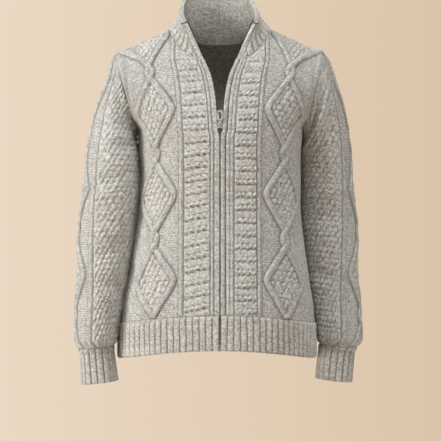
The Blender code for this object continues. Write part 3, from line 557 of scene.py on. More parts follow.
    def hollow(self, deep):  # how far each point lies below the stitches round it, which the wool paints as shade
        reach = stitchSet["hollowShadeReach"]
        blurred = self.high
        for _ in range(4):                              # down and across, twice
            padded = np.pad(blurred, ((reach + 1, reach), (0, 0)), "edge")
            padded[0] = 0
            sums = np.cumsum(padded, axis=0)
            blurred = ((sums[2 * reach + 1:] - sums[:-2 * reach - 1]) / (2 * reach + 1)).T
        return np.clip((blurred - self.high) / deep, 0, 1)

    # the third part of the kind is the hollow depth, used for the painted shade in the wool's colour
    def data(self, deep=stitchSet["hollowShadeDeep"]):
        return (np.stack([self.u, self.v, np.zeros_like(self.w)], axis=-1),
                np.stack([self.knit, self.purl, self.hollow(deep)], axis=-1))


# closed cloth walls, fine outside and coarser inside
def thinned(count, step):
    picked = list(range(0, count, step))
    if picked[-1] != count - 1:
        picked.append(count - 1)
    return picked


def zipStrip(a, aAt, b, bAt):
    faces, i, j = [], 0, 0
    while i < len(a) - 1 or j < len(b) - 1:
        if j == len(b) - 1 or (i < len(a) - 1 and aAt[i + 1] <= bAt[j + 1]):
            faces.append((a[i], a[i + 1], b[j]))
            i += 1
        else:
            faces.append((a[i], b[j + 1], b[j]))
            j += 1
    return faces


def quads(grid):
    corners = [grid[:-1, :-1], grid[:-1, 1:], grid[1:, 1:], grid[1:, :-1]]
    return np.stack(corners, axis=-1).reshape(-1, 4).tolist()


def makeWall(name, mat, outer, inner, outerData, innerData, around=False, step=3):
    rows, cols = outer.shape[:2]
    rowCut = thinned(rows, step)
    colCut = list(range(0, cols, step)) if around else thinned(cols, step)
    picked = np.ix_(rowCut, colCut)
    ids = np.arange(rows * cols).reshape(rows, cols)
    inIds = np.arange(len(rowCut) * len(colCut)).reshape(len(rowCut), -1) + rows * cols
    colAt, inAt = list(range(cols)), colCut
    if around:
        ids, inIds = (np.concatenate((grid, grid[:, :1]), axis=1) for grid in (ids, inIds))
        colAt, inAt = colAt + [cols], inAt + [cols]
    faces = quads(ids) + quads(inIds)
    for r in (0, -1):
        faces += zipStrip(ids[r].tolist(), colAt, inIds[r].tolist(), inAt)
    if not around:
        for c in (0, -1):
            faces += zipStrip(ids[:, c].tolist(), list(range(rows)), inIds[:, c].tolist(), rowCut)
    verts, *values = (np.concatenate((out.reshape(-1, 3), ins[picked].reshape(-1, 3)))
                      for out, ins in zip((outer, *outerData), (inner, *innerData)))
    return addCloth(name, mat, verts, faces, values)


def addCloth(name, mat, verts, faces, values=(), sharp=55):
    mesh = bpy.data.meshes.new(name)
    mesh.from_pydata(verts.tolist(), [], faces)
    work = bmesh.new()
    work.from_mesh(mesh)
    bmesh.ops.recalc_face_normals(work, faces=work.faces[:])
    work.to_mesh(mesh)
    work.free()
    mesh.shade_smooth()
    mesh.set_sharp_from_angle(angle=math.radians(sharp))
    for title, value in zip(("stitch", "stitchKindShade"), values):
        layer = mesh.attributes.new(title, "FLOAT_VECTOR", "POINT")
        layer.data.foreach_set("vector", value.astype(np.float32).ravel())
    mesh.materials.append(mat)
    return linked(name, mesh)


def plainData(w, h):
    one, zero = np.ones_like(w), np.zeros_like(w)
    return np.stack([w, h, zero], axis=-1), np.stack([zero, one, zero], axis=-1)


# wool
# three of these values set painted shade in the base colour: in hollows below the stitches round them,
# between the legs of knit stitches and between purl ridges
woolSet = {"light": (0.760, 0.748, 0.705, 1), "dark": (0.345, 0.337, 0.314, 1), "row": 0.0037,
           "purlRow": 0.0044, "purlWide": 0.0052, "cellWide": 0.0032, "cellTall": 0.0030, "block": 0.012,
           "cells": 0.80, "fine": 620.0, "fibre": 1700.0, "soft": 26.0, "grain": 380.0, "contrast": 3.8,
           "middle": 0.56, "hollow": 0.38, "knitGapShade": 0.30, "purlGapShade": 0.50, "rough": 0.95}


def woolPaint(name, tint):
    paint = Paint(name)
    spot, kind = (paint.node("ShaderNodeAttribute", {"attribute_name": title}, {}, "Vector")
                  for title in ("stitch", "stitchKindShade"))
    u, v = paint.part(spot, 0), paint.part(spot, 1)
    knit, purl, hollow = (paint.part(kind, k) for k in range(3))
    place = paint.place()
    fine = paint.noise(place, woolSet["fine"], 3.0, 0.6)
    fibre = paint.noise(place, woolSet["fibre"], 2.0, 0.6)
    soft = paint.noise(place, woolSet["soft"])
    grain = paint.noise(place, woolSet["grain"], 2.0, 0.6)
    side = ((u / stitchSet["columnWide"]).math("FRACT") - 0.5).math("ABSOLUTE") * 2
    leg = (v / woolSet["row"] - side * 0.8 + fine * 0.25).humps() ** 0.6
    vee = leg * (side * (1 - side) * 4) ** 0.45
    wave = (u * (2 * math.pi / woolSet["purlWide"])).math("SINE")
    ridges = (v / woolSet["purlRow"] + wave * 0.17 + fine * 0.3).humps() ** 0.8
    high = vee * knit * 0.50 + ridges * purl * 0.65 + fine * 0.50 + fibre * 0.20 + grain * 1.3
    # each stitch has its own shade of yarn, and block keeps neighbouring ribs from repeating it
    block = sum((paint.part(place, k) / woolSet["block"]).math("FLOOR") for k in (0, 1))
    cell = paint.node("ShaderNodeCombineXYZ", {}, [(u / woolSet["cellWide"]).math("FLOOR"),
                                                   (v / woolSet["cellTall"]).math("FLOOR"), block])
    patch = paint.node("ShaderNodeTexWhiteNoise", {"noise_dimensions": "3D"}, {"Vector": cell})
    marl = ((fine * 0.3 + fibre * 0.2 + grain * 0.5 - 0.5) * woolSet["contrast"] + woolSet["middle"]
            + (soft - 0.5) * 0.25 + (patch - 0.5) * woolSet["cells"])
    yarn = paint.mix(1.0, paint.mix(marl.clamped(), woolSet["dark"], woolSet["light"]), tint, "MULTIPLY")
    # painted shade: the base colour is darkened in hollows below the stitches round them, between the legs
    # of knit stitches and between purl ridges
    shade = ((1 - hollow * woolSet["hollow"]) * (1 - (1 - vee) * knit * woolSet["knitGapShade"])
             * (1 - (1 - ridges) * purl * woolSet["purlGapShade"]))
    grey = paint.node("ShaderNodeCombineXYZ", {}, [shade, shade, shade])
    paint.shader({"Base Color": paint.mix(1.0, yarn, grey, "MULTIPLY"), "Normal": paint.bump(high, 0.001),
                  "Roughness": woolSet["rough"], "Specular IOR Level": 0.12,
                  "Sheen Weight": 0.25, "Sheen Roughness": 0.6, "Sheen Tint": (0.9, 0.88, 0.84, 1)})
    return paint.mat


knitLook = (woolPaint("marlWool", (1, 1, 1, 1)), "marl_knit")     # material and slot
ribLook = (woolPaint("marlRibWool", (1.07, 1.065, 1.05, 1)), "marl_rib")
print("stage: wool")

# fronts and back
panelSet = {  # zones run from wale to wale in steps of about the third figure
    "zonesFront": ((0.0013, 0.010, 0.0014), (0.010, 0.024, 0.0009), (0.024, 0.066, 0.0013),
                   (0.066, 0.084, 0.0009), (0.084, 0.174, 0.0014), (0.174, 0.196, 0.0012),
                   (0.196, 0.250, 0.0027)),
    "zonesBack": ((0.0, 0.012, 0.0011), (0.012, 0.068, 0.0017), (0.068, 0.083, 0.0012),
                  (0.083, 0.175, 0.0019), (0.175, 0.196, 0.0016), (0.196, 0.250, 0.0032)),
    "rowsFront": (236, 112), "rowsBack": (170, 84), "armEase": 0.018, "armCut": 0.198,
    "seamAt": 0.1900, "seamHalf": 0.0042, "seamHigh": 0.0028, "uneven": 0.0009, "bandHigh": 0.0012,
    "ribHigh": 0.0016, "outerRib": (0.0040, 0.0020), "grooveHalf": 0.0010, "grooveDeep": 0.0007,
    "ladderGroove": 0.0006, "outerGroove": 0.0046, "channelPitch": 0.0068, "backGrooveHalf": 0.0012,
    "topFade": 0.012, "hemFade": 0.003, "sideFade": 0.006, "creaseFade": 0.020, "middleFade": 0.012,
}
frontLayout = {
    "right": {"band": 0.0108, "ribs": ((0.0142, 0.0031),), "ladder": (0.0178, 0.0665), "rib": 0.0725,
              "start": 0.0050, "rise": (0.18, 0.04), "seed": 11, "over": -1.0, "lean": 0.2,
              "arms": (1.18, 0.62), "ladderLean": 0.45, "channel": (0.0108, 0.0009, 0.0004)},
    "left": {"band": 0.0104, "ribs": ((0.0152, 0.0036), (0.0220, 0.0034)), "ladder": (0.0264, 0.0680),
             "rib": 0.0727, "start": 0.0030, "rise": (-0.03, -0.08), "seed": 23, "over": 1.0, "lean": -0.18,
             "arms": (1.18, 0.50), "ladderLean": -0.45, "channel": (0.0098, 0.0020, 0.0022)},
}
backLayout = {"band": 0.0085, "bandHigh": 0.0016, "ladder": (0.0110, 0.0660), "start": 0.0040,
              "ladderLean": 0.45, "lean": 0.2, "arms": (1.2, 0.5),
              "ribs": ((0.074, 0.0050, 0.0022), (0.188, 0.0062, 0.0024)), "seed": {"left": 41, "right": 57},
              "grooves": ((0.0095, 0.0013), (0.0660, 0.0014), (0.080, 0.0013), (0.1805, 0.0012),
                          (0.1955, 0.0014))}
frontCreases = {  # wale, height, wale, height, half width, height or depth
    "right": ((0.235, 0.395, 0.150, 0.330, 0.016, -0.0024), (0.215, 0.400, 0.165, 0.455, 0.014, 0.0018),
              (0.245, 0.300, 0.170, 0.270, 0.018, -0.0018), (0.240, 0.120, 0.140, 0.060, 0.020, -0.0020),
              (0.060, 0.030, 0.150, 0.010, 0.014, 0.0014), (0.010, 0.330, 0.060, 0.450, 0.016, -0.0010)),
    "left": ((0.235, 0.390, 0.140, 0.350, 0.015, -0.0026), (0.225, 0.410, 0.180, 0.470, 0.013, 0.0020),
             (0.245, 0.330, 0.175, 0.290, 0.014, -0.0016), (0.245, 0.200, 0.160, 0.150, 0.020, -0.0020),
             (0.050, 0.040, 0.160, 0.015, 0.014, 0.0012), (0.010, 0.320, 0.055, 0.460, 0.018, -0.0012)),
}
backCreases = {
    "right": ((0.240, 0.390, 0.120, 0.330, 0.020, -0.0034), (0.235, 0.350, 0.090, 0.250, 0.022, 0.0026),
              (0.200, 0.170, 0.060, 0.105, 0.020, -0.0030), (0.230, 0.075, 0.080, 0.050, 0.018, 0.0024),
              (0.030, 0.430, 0.120, 0.455, 0.018, -0.0020)),
    "left": ((0.240, 0.395, 0.140, 0.345, 0.018, -0.0030), (0.230, 0.330, 0.110, 0.270, 0.022, 0.0024),
             (0.220, 0.190, 0.050, 0.130, 0.022, -0.0032), (0.210, 0.060, 0.070, 0.070, 0.016, 0.0022),
             (0.035, 0.445, 0.130, 0.430, 0.016, -0.0018)),
}


def zoned(zones):
    parts = [np.linspace(low, top, max(2, round((top - low) / step)) + 1)[:-1] for low, top, step in zones]
    return np.concatenate(parts + [[zones[-1][1]]])


noDepth = np.array((1.0, 0.0, 1.0))  # takes the part that runs front to back out of a direction


def ownSide(points, face):
    points = points.copy()
    points[..., 1] = face * np.maximum(points[..., 1] * face, form["seam"] / 2)
    return points


def frontStitches(w, h, side):
    plan = frontLayout[side]
    knit = Stitches(w, h, plan["seed"])
    knit.band(0.0, plan["band"], panelSet["bandHigh"])
    for at, half in plan["ribs"]:
        knit.rib(at, half, panelSet["ribHigh"])
    low, top = plan["ladder"]
    rise = plan["rise"][0] + (plan["rise"][1] - plan["rise"][0]) * step01(0.16, 0.40, h)
    knit.ladder(low, top, plan["start"], rise, plan["ladderLean"])
    knit.cable(stitchSet["cableCentre"], stitchSet["knotAt"], stitchSet["reach"], plan["over"], plan["lean"],
               plan["arms"])
    knit.rib(plan["rib"], *panelSet["outerRib"])
    usual = panelSet["grooveDeep"]
    for at, deep in ((plan["band"], usual), (low, panelSet["ladderGroove"]), (top, usual),
                     (plan["rib"] + panelSet["outerGroove"], usual)):
        knit.groove(at, panelSet["grooveHalf"], deep)
    at, half, deep = plan["channel"]
    knit.groove(at, half, deep * (0.75 + 0.35 * np.cos(h * 2 * math.pi / panelSet["channelPitch"])))
    seam = bell(w - panelSet["seamAt"], panelSet["seamHalf"]) * step01(0.33, 0.40, h)
    knit.high = knit.high + panelSet["seamHigh"] * seam
    return knit


def backStitches(w, h, side):
    plan = backLayout
    knit = Stitches(w, h, plan["seed"][side])
    knit.band(-0.004, plan["band"], plan["bandHigh"])
    knit.ladder(*plan["ladder"], plan["start"], 0.0, plan["ladderLean"])
    knit.cable(stitchSet["cableCentre"], stitchSet["knotAt"], stitchSet["reach"],
               1.0 if side == "left" else -1.0, plan["lean"], plan["arms"])
    for at, half, high in plan["ribs"]:
        knit.rib(at, half, high)
    for at, deep in plan["grooves"]:
        knit.groove(at, panelSet["backGrooveHalf"], deep)
    return knit


def halfPanel(side, face):
    name = "Front" if face < 0 else "Back"
    wales = zoned(panelSet["zones" + name])
    lower, upper = panelSet["rows" + name]
    shares = (np.concatenate((np.linspace(0, 1, lower + 1), np.ones(upper))),
              np.concatenate((np.zeros(lower + 1), np.linspace(0, 1, upper + 1)[1:])))
    base, normal, height = torsoNet(side, face, wales, 0.0, neckLevel(face, wales), shares)
    free, edge = form["free"], form["side"]
    w = filled(wales, height)
    cut = edge + (panelSet["armCut"] - edge) * step01(0.0, 0.045, height - height[lower])
    cutWales = np.where(w > free, free + (w - free) * (cut - free) / (edge - free), w)
    knit = (frontStitches if face < 0 else backStitches)(cutWales, height, side)
    below = height[-1] - height
    seamFade = 0.50 + 0.50 * step01(0, panelSet["topFade"], below)
    seamFade = seamFade + (1 - seamFade) * step01(0.032, 0.020, w) * (face < 0)
    fade = seamFade * (0.5 + 0.5 * step01(0, panelSet["hemFade"], height))
    knit.high = knit.high * fade * step01(0, panelSet["sideFade"], edge - w)
    creases = (frontCreases if face < 0 else backCreases)[side]
    shape = creaseField(w, height, creases) + panelSet["uneven"] * softNoise(w, height, 0.045, knit.seed + 1)
    reach = panelSet["creaseFade"]
    shape *= step01(0, reach, below) * step01(0, reach, height) * step01(0, reach, edge - w)
    shape *= step01(0, panelSet["middleFade"], w) if face > 0 else 1.0
    inward = -normal
    ease = step01(edge - panelSet["armEase"], edge, wales)[:, None]
    for r in range(len(base)):
        if r >= lower:
            base[r, -1] -= armOut * form["seam"] / 2
            toward = armInward(base[r], face)
        else:
            toward = -unit(normal[r] * noDepth)
        inward[r] = unit(inward[r] * (1 - ease) + toward * ease)
    nearTop = (step01(panelSet["topFade"], 0.0, below) * (w > faced("neckWale", face) - 0.0006))[..., None]
    inward = unit(inward * (1 - nearTop) + unit(inward * noDepth) * nearTop)
    outer = base - inward * (knit.high + shape)[..., None]
    inner = base + inward * (form["wall"] - shape)[..., None]
    return ownSide(outer, face), ownSide(inner, face), knit.data(), plainData(w, height)


def joinHalves(right, left):  # two halves that meet at the centre back
    joined = []
    for k in range(2):
        joined.append(np.concatenate((mirrored(right[k], "right")[:, :0:-1], left[k]), axis=1))
    for k in (2, 3):
        joined.append(tuple(np.concatenate((a[:, :0:-1], b), axis=1) for a, b in zip(right[k], left[k])))
    return joined


def useCloth(piece, node):
    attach(piece, "sweater")
    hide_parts(node)


def addSides(title, node, look, half, **settings):  # one wall on each side
    for side in ("right", "left"):
        outer, inner, data, inData = half(side)
        piece = makeWall(title + side.title(), look[0], mirrored(outer, side), mirrored(inner, side),
                         data, inData, **settings)
        useCloth(piece, node + side)


def addJoined(title, node, look, half, **settings):  # one wall that runs across the centre back
    walls = joinHalves(half("right"), half("left"))
    useCloth(makeWall(title, look[0], *walls, **settings), node)


addSides("knitFront", "front_", knitLook, lambda side: halfPanel(side, -1))
print("stage: fronts")
addJoined("knitBack", "back", knitLook, lambda side: halfPanel(side, 1))
print("stage: back")

# hem rib
hemSet = {"rib": 0.0118, "rows": 46, "perRib": 10, "high": 0.0035, "seed": 71, "deep": 0.0009,
          "dip": 0.0009, "sway": 0.10, "swaySize": 0.035, "swayFrom": 0.02, "uneven": 0.18,
          "topFade": 0.006, "sideFade": 0.004}


def ribLift(x):  # rounded ribs with narrow grooves between; x counts ribs
    d = (x - np.floor(x)) - 0.5
    return np.clip(1 - (np.abs(d) / 0.5) ** 4.0, 0, 1) ** 0.7


def ribData(x, h, high, wide, seed):
    d = (x - np.floor(x)) - 0.5
    knit = Stitches(x * wide, h, seed)
    knit.high = high
    knit.u, knit.v = d * wide * 0.9 + stitchSet["columnWide"] * 8.5, h
    knit.knit = step01(0.5, 0.40, np.abs(d))
    knit.purl = 1 - knit.knit
    return knit


def halfHem(side, face):
    k = hemSet
    first = form["edge"] if face < 0 else 0.0
    count = round((form["side"] - first) / k["rib"])
    shares = np.linspace(0, 1, count * k["perRib"] + 1)
    wales = first + (form["side"] - first) * shares
    drop = form["underarmZ"] - form["ribTopZ"]
    rows = np.linspace(0, 1, k["rows"])
    levels = [-form["seam"] / drop + (form["hemZ"] - form["ribTopZ"] + form["seam"]) / drop * row
              for row in rows]
    base, normal = layNet(side, face, placeWales, wales, levels)
    normal[:, -1] = (1.0, 0.0, 0.0)
    x = filled(shares * count + (0.0 if face < 0 else 0.5), base)
    h = filled((-rows * (form["ribTopZ"] - form["hemZ"]))[:, None], base)
    sway = k["sway"] * softNoise(x * k["rib"], h, k["swaySize"], k["seed"] + (side == "left"))
    sway = sway * step01(0, k["swayFrom"], -h)
    lift = k["high"] * ribLift(x + sway) * (1 + k["uneven"] * softNoise(x, h, 0.9, 5))
    scallop = step01(0.0, k["topFade"], -h) * (0.55 + 0.45 * step01(0, k["sideFade"], h - h.min()))
    lift = lift * scallop * step01(0, k["sideFade"], form["side"] - filled(wales, base))
    knit = ribData(x, h, lift, k["rib"], k["seed"])
    outer = base + normal * lift[..., None]
    outer[-1, :, 2] -= k["dip"] * ribLift(x[-1])
    return (ownSide(outer, face), ownSide(base - normal * form["wall"], face),
            knit.data(deep=k["deep"]), plainData(x * k["rib"], h))


addSides("ribHemFront", "hem_front_", ribLook, lambda side: halfHem(side, -1))
addJoined("ribHemBack", "hem_back", ribLook, lambda side: halfHem(side, 1))
print("stage: hem")

# sleeves and cuffs: outline in the front view, with depth and middle of each ring
sleeveColumns = ("outerZ", "outerRight", "outerLeft", "innerZ", "innerRight", "innerLeft", "halfDepth",
                 "middleRight", "middleLeft")
sleeveRows = (
    sleeveColumns,
    (-0.084, 0.2125, 0.2165, -0.199, 0.1600, 0.1600, 0.0610, -0.003, 0.008),
    (-0.125, 0.2265, 0.2300, -0.211, 0.1592, 0.1588, 0.0630, -0.007, 0.016),
    (-0.170, 0.2375, 0.2400, -0.226, 0.1564, 0.1558, 0.0640, -0.013, 0.025),
    (-0.220, 0.2465, 0.2480, -0.247, 0.1538, 0.1537, 0.0630, -0.020, 0.034),
    (-0.280, 0.2550, 0.2545, -0.288, 0.1529, 0.1531, 0.0610, -0.026, 0.042),
    (-0.352, 0.2625, 0.2605, -0.354, 0.1583, 0.1551, 0.0580, -0.030, 0.044),
    (-0.432, 0.2675, 0.2640, -0.432, 0.1692, 0.1643, 0.0530, -0.034, 0.036),
    (-0.512, 0.2695, 0.2660, -0.510, 0.1818, 0.1760, 0.0500, -0.038, 0.024),
    (-0.558, 0.2710, 0.2675, -0.554, 0.1900, 0.1838, 0.0500, -0.039, 0.015),
    (-0.586, 0.2715, 0.2680, -0.580, 0.1942, 0.1868, 0.0500, -0.040, 0.010),
    (-0.600, 0.2660, 0.2620, -0.594, 0.1985, 0.1896, 0.0440, -0.041, 0.007),
)
cuffRows = (
    sleeveColumns,
    sleeveRows[-1],
    (-0.6100, 0.2595, 0.2540, -0.6040, 0.2015, 0.1905, 0.0365, -0.0416, 0.0060),
    (-0.6670, 0.2575, 0.2485, -0.6600, 0.1930, 0.1835, 0.0365, -0.0460, 0.0000),
)
sleeveSet = {"free": 0.060, "half": 0.185, "reach": 0.034, "knotAt": 0.059, "rings": 300,
             "twist": {"right": (0.000, 0.012), "left": (-0.010, 0.021)},
             "zones": ((0.0, 0.046, 0.0016), (0.046, 0.058, 0.0011), (0.058, 0.185, 0.0022)),
             "ringPoints": 161, "moss": 0.058, "mossWide": 0.0125, "mossTall": 0.0101, "mossHigh": 0.0031,
             "rib": 0.052, "ribHalf": 0.0046, "ribHigh": 0.0016, "grooves": (0.0462, 0.0578),
             "grooveHalf": 0.0010, "grooveDeep": 0.0004, "uneven": 0.0010, "sway": 0.0014,
             "endFade": 0.004, "wristCrease": 0.020, "topCrease": 0.025, "innerCrease": 0.015,
             "seamReach": ((0, 0.014), (-1, 0.008))}
cuffSet = {"ribs": 18, "perRib": 10, "rows": 40, "high": 0.0032, "rib": 0.0127, "length": 0.066, "seed": 101,
          "topFade": 0.12, "uneven": 0.15, "turnAt": 0.16}
sleeveCreases = {  # as on the fronts
    "right": ((0.160, 0.500, 0.060, 0.430, 0.014, -0.0059), (0.140, 0.455, 0.040, 0.385, 0.013, -0.0043),
              (0.150, 0.410, 0.070, 0.360, 0.011, -0.0035), (0.120, 0.330, 0.040, 0.290, 0.015, -0.0039),
              (0.150, 0.200, 0.050, 0.165, 0.014, -0.0039), (0.060, 0.130, 0.160, 0.100, 0.013, -0.0035),
              (-0.060, 0.440, -0.160, 0.500, 0.014, -0.0055), (-0.050, 0.340, -0.150, 0.300, 0.015, -0.0047),
              (-0.070, 0.190, -0.160, 0.240, 0.015, -0.0043),
              (-0.040, 0.100, -0.150, 0.080, 0.013, -0.0039)),
    "left": ((0.165, 0.470, 0.075, 0.520, 0.009, -0.0059), (0.155, 0.430, 0.060, 0.500, 0.009, -0.0051),
             (0.160, 0.395, 0.065, 0.465, 0.010, 0.0039), (0.150, 0.350, 0.060, 0.420, 0.010, -0.0047),
             (0.085, 0.480, 0.070, 0.330, 0.010, -0.0039), (0.140, 0.240, 0.050, 0.260, 0.015, -0.0039),
             (0.150, 0.150, 0.060, 0.120, 0.013, -0.0035), (-0.060, 0.430, -0.160, 0.490, 0.015, -0.0059),
             (-0.050, 0.330, -0.150, 0.290, 0.015, -0.0043), (-0.070, 0.210, -0.160, 0.250, 0.015, -0.0047),
             (-0.040, 0.110, -0.150, 0.085, 0.013, -0.0039)),
}


def rails(side, rows):
    def rail(name):
        across = column(rows, name + side.title())
        return np.stack([across, np.zeros_like(across), column(rows, name + "Z")], axis=-1)
    return rail("outer"), rail("inner"), column(rows, "halfDepth"), column(rows, "middle" + side.title())


def ringLine(outer, inner, front, back, middleY):  # from the innermost line round the back to the front
    turn = np.linspace(-math.pi, math.pi, 2 * sleeveSet["ringPoints"] - 1)
    deep = middleY - np.where(turn < 0, back, front) * np.sin(turn)
    return ((outer + inner) / 2 + np.cos(turn)[:, None] * (outer - inner) / 2
            + deep[:, None] * np.array((0.0, 1.0, 0.0)))


def placeRound(line, wales, twist):
    length = travelled(line)
    zero = length[sleeveSet["ringPoints"] - 1]
    halves = np.where(wales < 0, zero, length[-1] - zero)
    size, free, half = np.abs(wales), sleeveSet["free"], sleeveSet["half"]
    outer = free + (size - free) * (halves - free) / (half - free)
    at = zero + np.where(size <= free, size, outer) * np.sign(wales) + twist * (1 - size / half)
    return resample(line, length, at)


def sleeveNet(side, wales, shares):
    outer, inner, depth, middleY = rails(side, sleeveRows)
    start = armOut * form["seam"] / 2
    outer = np.concatenate(([shoulderTip + start], outer))
    inner = np.concatenate(([underarm + start], inner))
    front = np.concatenate(([form["armFront"]], depth))
    back = np.concatenate(([form["armBack"]], depth))
    middleY = np.concatenate(([0.0], middleY))
    along = (travelled(outer) + travelled(inner)) / 2
    topTwist, wristTwist = sleeveSet["twist"][side]
    points = np.empty((len(shares), len(wales), 3))
    for k, share in enumerate(shares):
        at = share * along[-1]
        outerAt, innerAt = ([smooth(along, rail[:, i], at) for i in range(3)] for rail in (outer, inner))
        line = ringLine(np.array(outerAt), np.array(innerAt),
                        *(smooth(along, part, at) for part in (front, back, middleY)))
        points[k] = placeRound(line, wales, topTwist + (wristTwist - topTwist) * share)
    wrapped = np.concatenate((points[:, -2:-1], points, points[:, 1:2]), axis=1)
    normal = unit(np.cross(wrapped[:, 2:] - wrapped[:, :-2], np.gradient(points, axis=0)))
    return points[:, :-1], normal[:, :-1], along[-1] * (1 - shares)


def ringInward(ring):
    tangent = np.roll(ring, -1, axis=0) - np.roll(ring, 1, axis=0)
    middle = ring.mean(axis=0)
    flat = unit(np.cross(ring[0] - middle, ring[len(ring) // 4] - middle))
    inward = unit(np.cross(flat, tangent))
    return inward * np.sign(np.sum(inward * (middle - ring), axis=1))[:, None]


def sleeveStitches(w, h, along, side):  # along is the distance from the wrist on each wale
    k = sleeveSet
    turn = 1.0 if side == "left" else -1.0
    knit = Stitches(w, h, 83 if side == "left" else 97)
    moss = pebbles(w + k["sway"] * softNoise(w, along, 0.014, knit.seed + 7),
                   along + k["sway"] * softNoise(w, along, 0.016, knit.seed + 8),
                   k["mossWide"], k["mossTall"], 0.3 * turn, knit.seed)
    away = np.abs(w) - k["moss"]
    knit.put(np.abs(w) > k["moss"], moss * k["mossHigh"] * step01(0, 0.004, away), w, h, 0.25, 0.10)
    knit.cable(0.0, k["knotAt"], k["reach"], turn, 0.3 * turn)
    for at in (-k["rib"], k["rib"]):
        knit.rib(at, k["ribHalf"], k["ribHigh"])
    for at in k["grooves"]:
        knit.groove(-at, k["grooveHalf"], k["grooveDeep"])
        knit.groove(at, k["grooveHalf"], k["grooveDeep"])
    return knit


def sleeveWall(side):
    k = sleeveSet
    half = zoned(k["zones"])
    wales = np.concatenate((-half[::-1], half[1:]))
    base, normal, height = sleeveNet(side, wales, np.linspace(0, 1, k["rings"]))
    w, h = filled(wales[:-1], base), filled(height[:, None], base)
    steps = np.linalg.norm(np.diff(base[::-1], axis=0), axis=2)
    upward = np.concatenate((np.zeros((1, base.shape[1])), np.cumsum(steps, axis=0)))[::-1]
    knit = sleeveStitches(w, h, upward, side)
    down = height[0] - h
    knit.high = knit.high * (step01(0, k["endFade"], h) * step01(0, k["endFade"], down))
    shape = creaseField(w, h, sleeveCreases[side])
    shape += k["uneven"] * softNoise(w, h, 0.05, knit.seed + 3)
    shape *= (step01(0, k["wristCrease"], h) * step01(0, k["topCrease"], down)
              * step01(0, k["innerCrease"], k["half"] - np.abs(w)))
    inward = -normal
    for end, reach in k["seamReach"]:
        near = step01(reach, 0, np.abs(h - h[end]))[..., None]
        inward = unit(inward * (1 - near) + ringInward(base[end])[None] * near)
    outer = base + normal * (knit.high + shape)[..., None]
    inner = base + inward * form["wall"] + normal * shape[..., None]
    return outer, inner, knit.data(), plainData(w, h)


def cuffWall(side):
    k = cuffSet
    at = np.arange(k["ribs"] * k["perRib"]) / (k["ribs"] * k["perRib"])
    rows = np.linspace(0, 1, k["rows"])
    outer, inner, depth, middleY = rails(side, cuffRows)
    key = np.array((0.0, k["turnAt"], 1.0))
    base = []
    for row in rows:
        spots = [np.array([np.interp(row, key, rail[:, i]) for i in range(3)]) for rail in (outer, inner)]
        deep = np.interp(row, key, depth)
        line = ringLine(*spots, deep, deep, np.interp(row, key, middleY))
        length = travelled(line)
        base.append(resample(line, length, at * length[-1]))
    base = np.array(base)
    base[0, :, 2] -= form["seam"]
    out = -np.array([ringInward(ring) for ring in base])
    x = filled(at * k["ribs"] + 0.5, base)
    h = filled(-rows[:, None] * k["length"], base)
    lift = k["high"] * ribLift(x) * step01(0, k["topFade"], rows)[:, None]
    lift = lift * (1 + k["uneven"] * softNoise(x, h, 0.9, 9))
    knit = ribData(x, h, lift, k["rib"], k["seed"])
    return (base + out * lift[..., None], base - out * form["wall"], knit.data(deep=hemSet["deep"]),
            plainData(x * k["rib"], h))


addSides("knitSleeve", "sleeve_", knitLook, sleeveWall, around=True)
print("stage: sleeves")
addSides("ribCuff", "cuff_", ribLook, cuffWall, around=True)
print("stage: cuffs")

# collar
collarTop = (  # top edge of each half, from the centre back to the front corner
    ("along", "xRight", "xLeft", "y", "z"),
    (0.00, 0.0000, 0.0000, 0.050, 0.071),
    (0.22, 0.0410, 0.0360, 0.042, 0.070),
    (0.42, 0.0650, 0.0560, 0.014, 0.062),
    (0.62, 0.0720, 0.0650, -0.018, 0.045),
    (0.82, 0.0720, 0.0720, -0.045, 0.027),
    (1.00, 0.0670, 0.0670, -0.062, 0.011),
)
collarSet = {"ribs": 16, "perRib": 9, "rows": 34, "high": 0.0036, "hollow": 0.005, "lean": 0.17,
             "rib": 0.0105, "bandHigh": 0.0013, "seed": 131, "insideSeed": 132, "leanFrom": 0.35,
             "leanFull": 0.75, "uneven": 0.15, "seamFade": 0.08, "topFade": 0.06, "thickFrom": 0.3,
             "band": (0.0125, 0.0100), "ribsFrom": (0.0105, 0.0135), "bandEdge": (0.0112, 0.0098)}


def neckLine(side):
    top = (np.array((1.0,)), np.array((1.0,)))
    halves = []
    for face, first in ((1, 0.0), (-1, form["edge"])):
        wales = np.linspace(first, faced("neckWale", face), 61)
        line, out, _ = torsoNet(side, face, wales, 0.6, neckLevel(face, wales), top)
        halves.append((line[0], out[0]))
    (back, backOut), (front, frontOut) = halves
    points = np.concatenate((back[:-1], front[::-1]))
    return points, unit(np.concatenate((backOut[:-1], frontOut[::-1]))), travelled(points)


def collarNet(side, along, ups):
    seam, seamOut, length = neckLine(side)
    at = along * length[-1]
    base = resample(seam, length, at)
    baseOut = unit(resample(seamOut, length, at))
    steps = np.linspace(0, length[-1], 161)
    tangent = unit(resample(unit(np.gradient(resample(seam, length, steps), axis=0)), steps, at))
    across = unit(np.cross(tangent, np.array((0.0, 0.0, 1.0))))
    across *= np.sign(np.sum(across * base, axis=1))[:, None]
    off = unit(np.cross(baseOut, tangent))
    off *= -np.sign(np.sum(off * across, axis=1))[:, None]
    base = base + off * form["seam"]
    top = np.stack([readTable(collarTop, name, along) for name in ("x" + side.title(), "y", "z")], axis=-1)
    hollow = across * (np.sin(along * math.pi) ** 0.7)[:, None] * collarSet["hollow"]
    net = np.array([base + (top - base) * up - hollow * 4 * up * (1 - up) for up in ups])
    normal = unit(np.cross(np.gradient(net, axis=1), np.gradient(net, axis=0)))
    normal *= np.sign(np.sum(normal * across, axis=2))[..., None]
    if ups[0] == 0:
        normal[0] = baseOut
    return net, normal


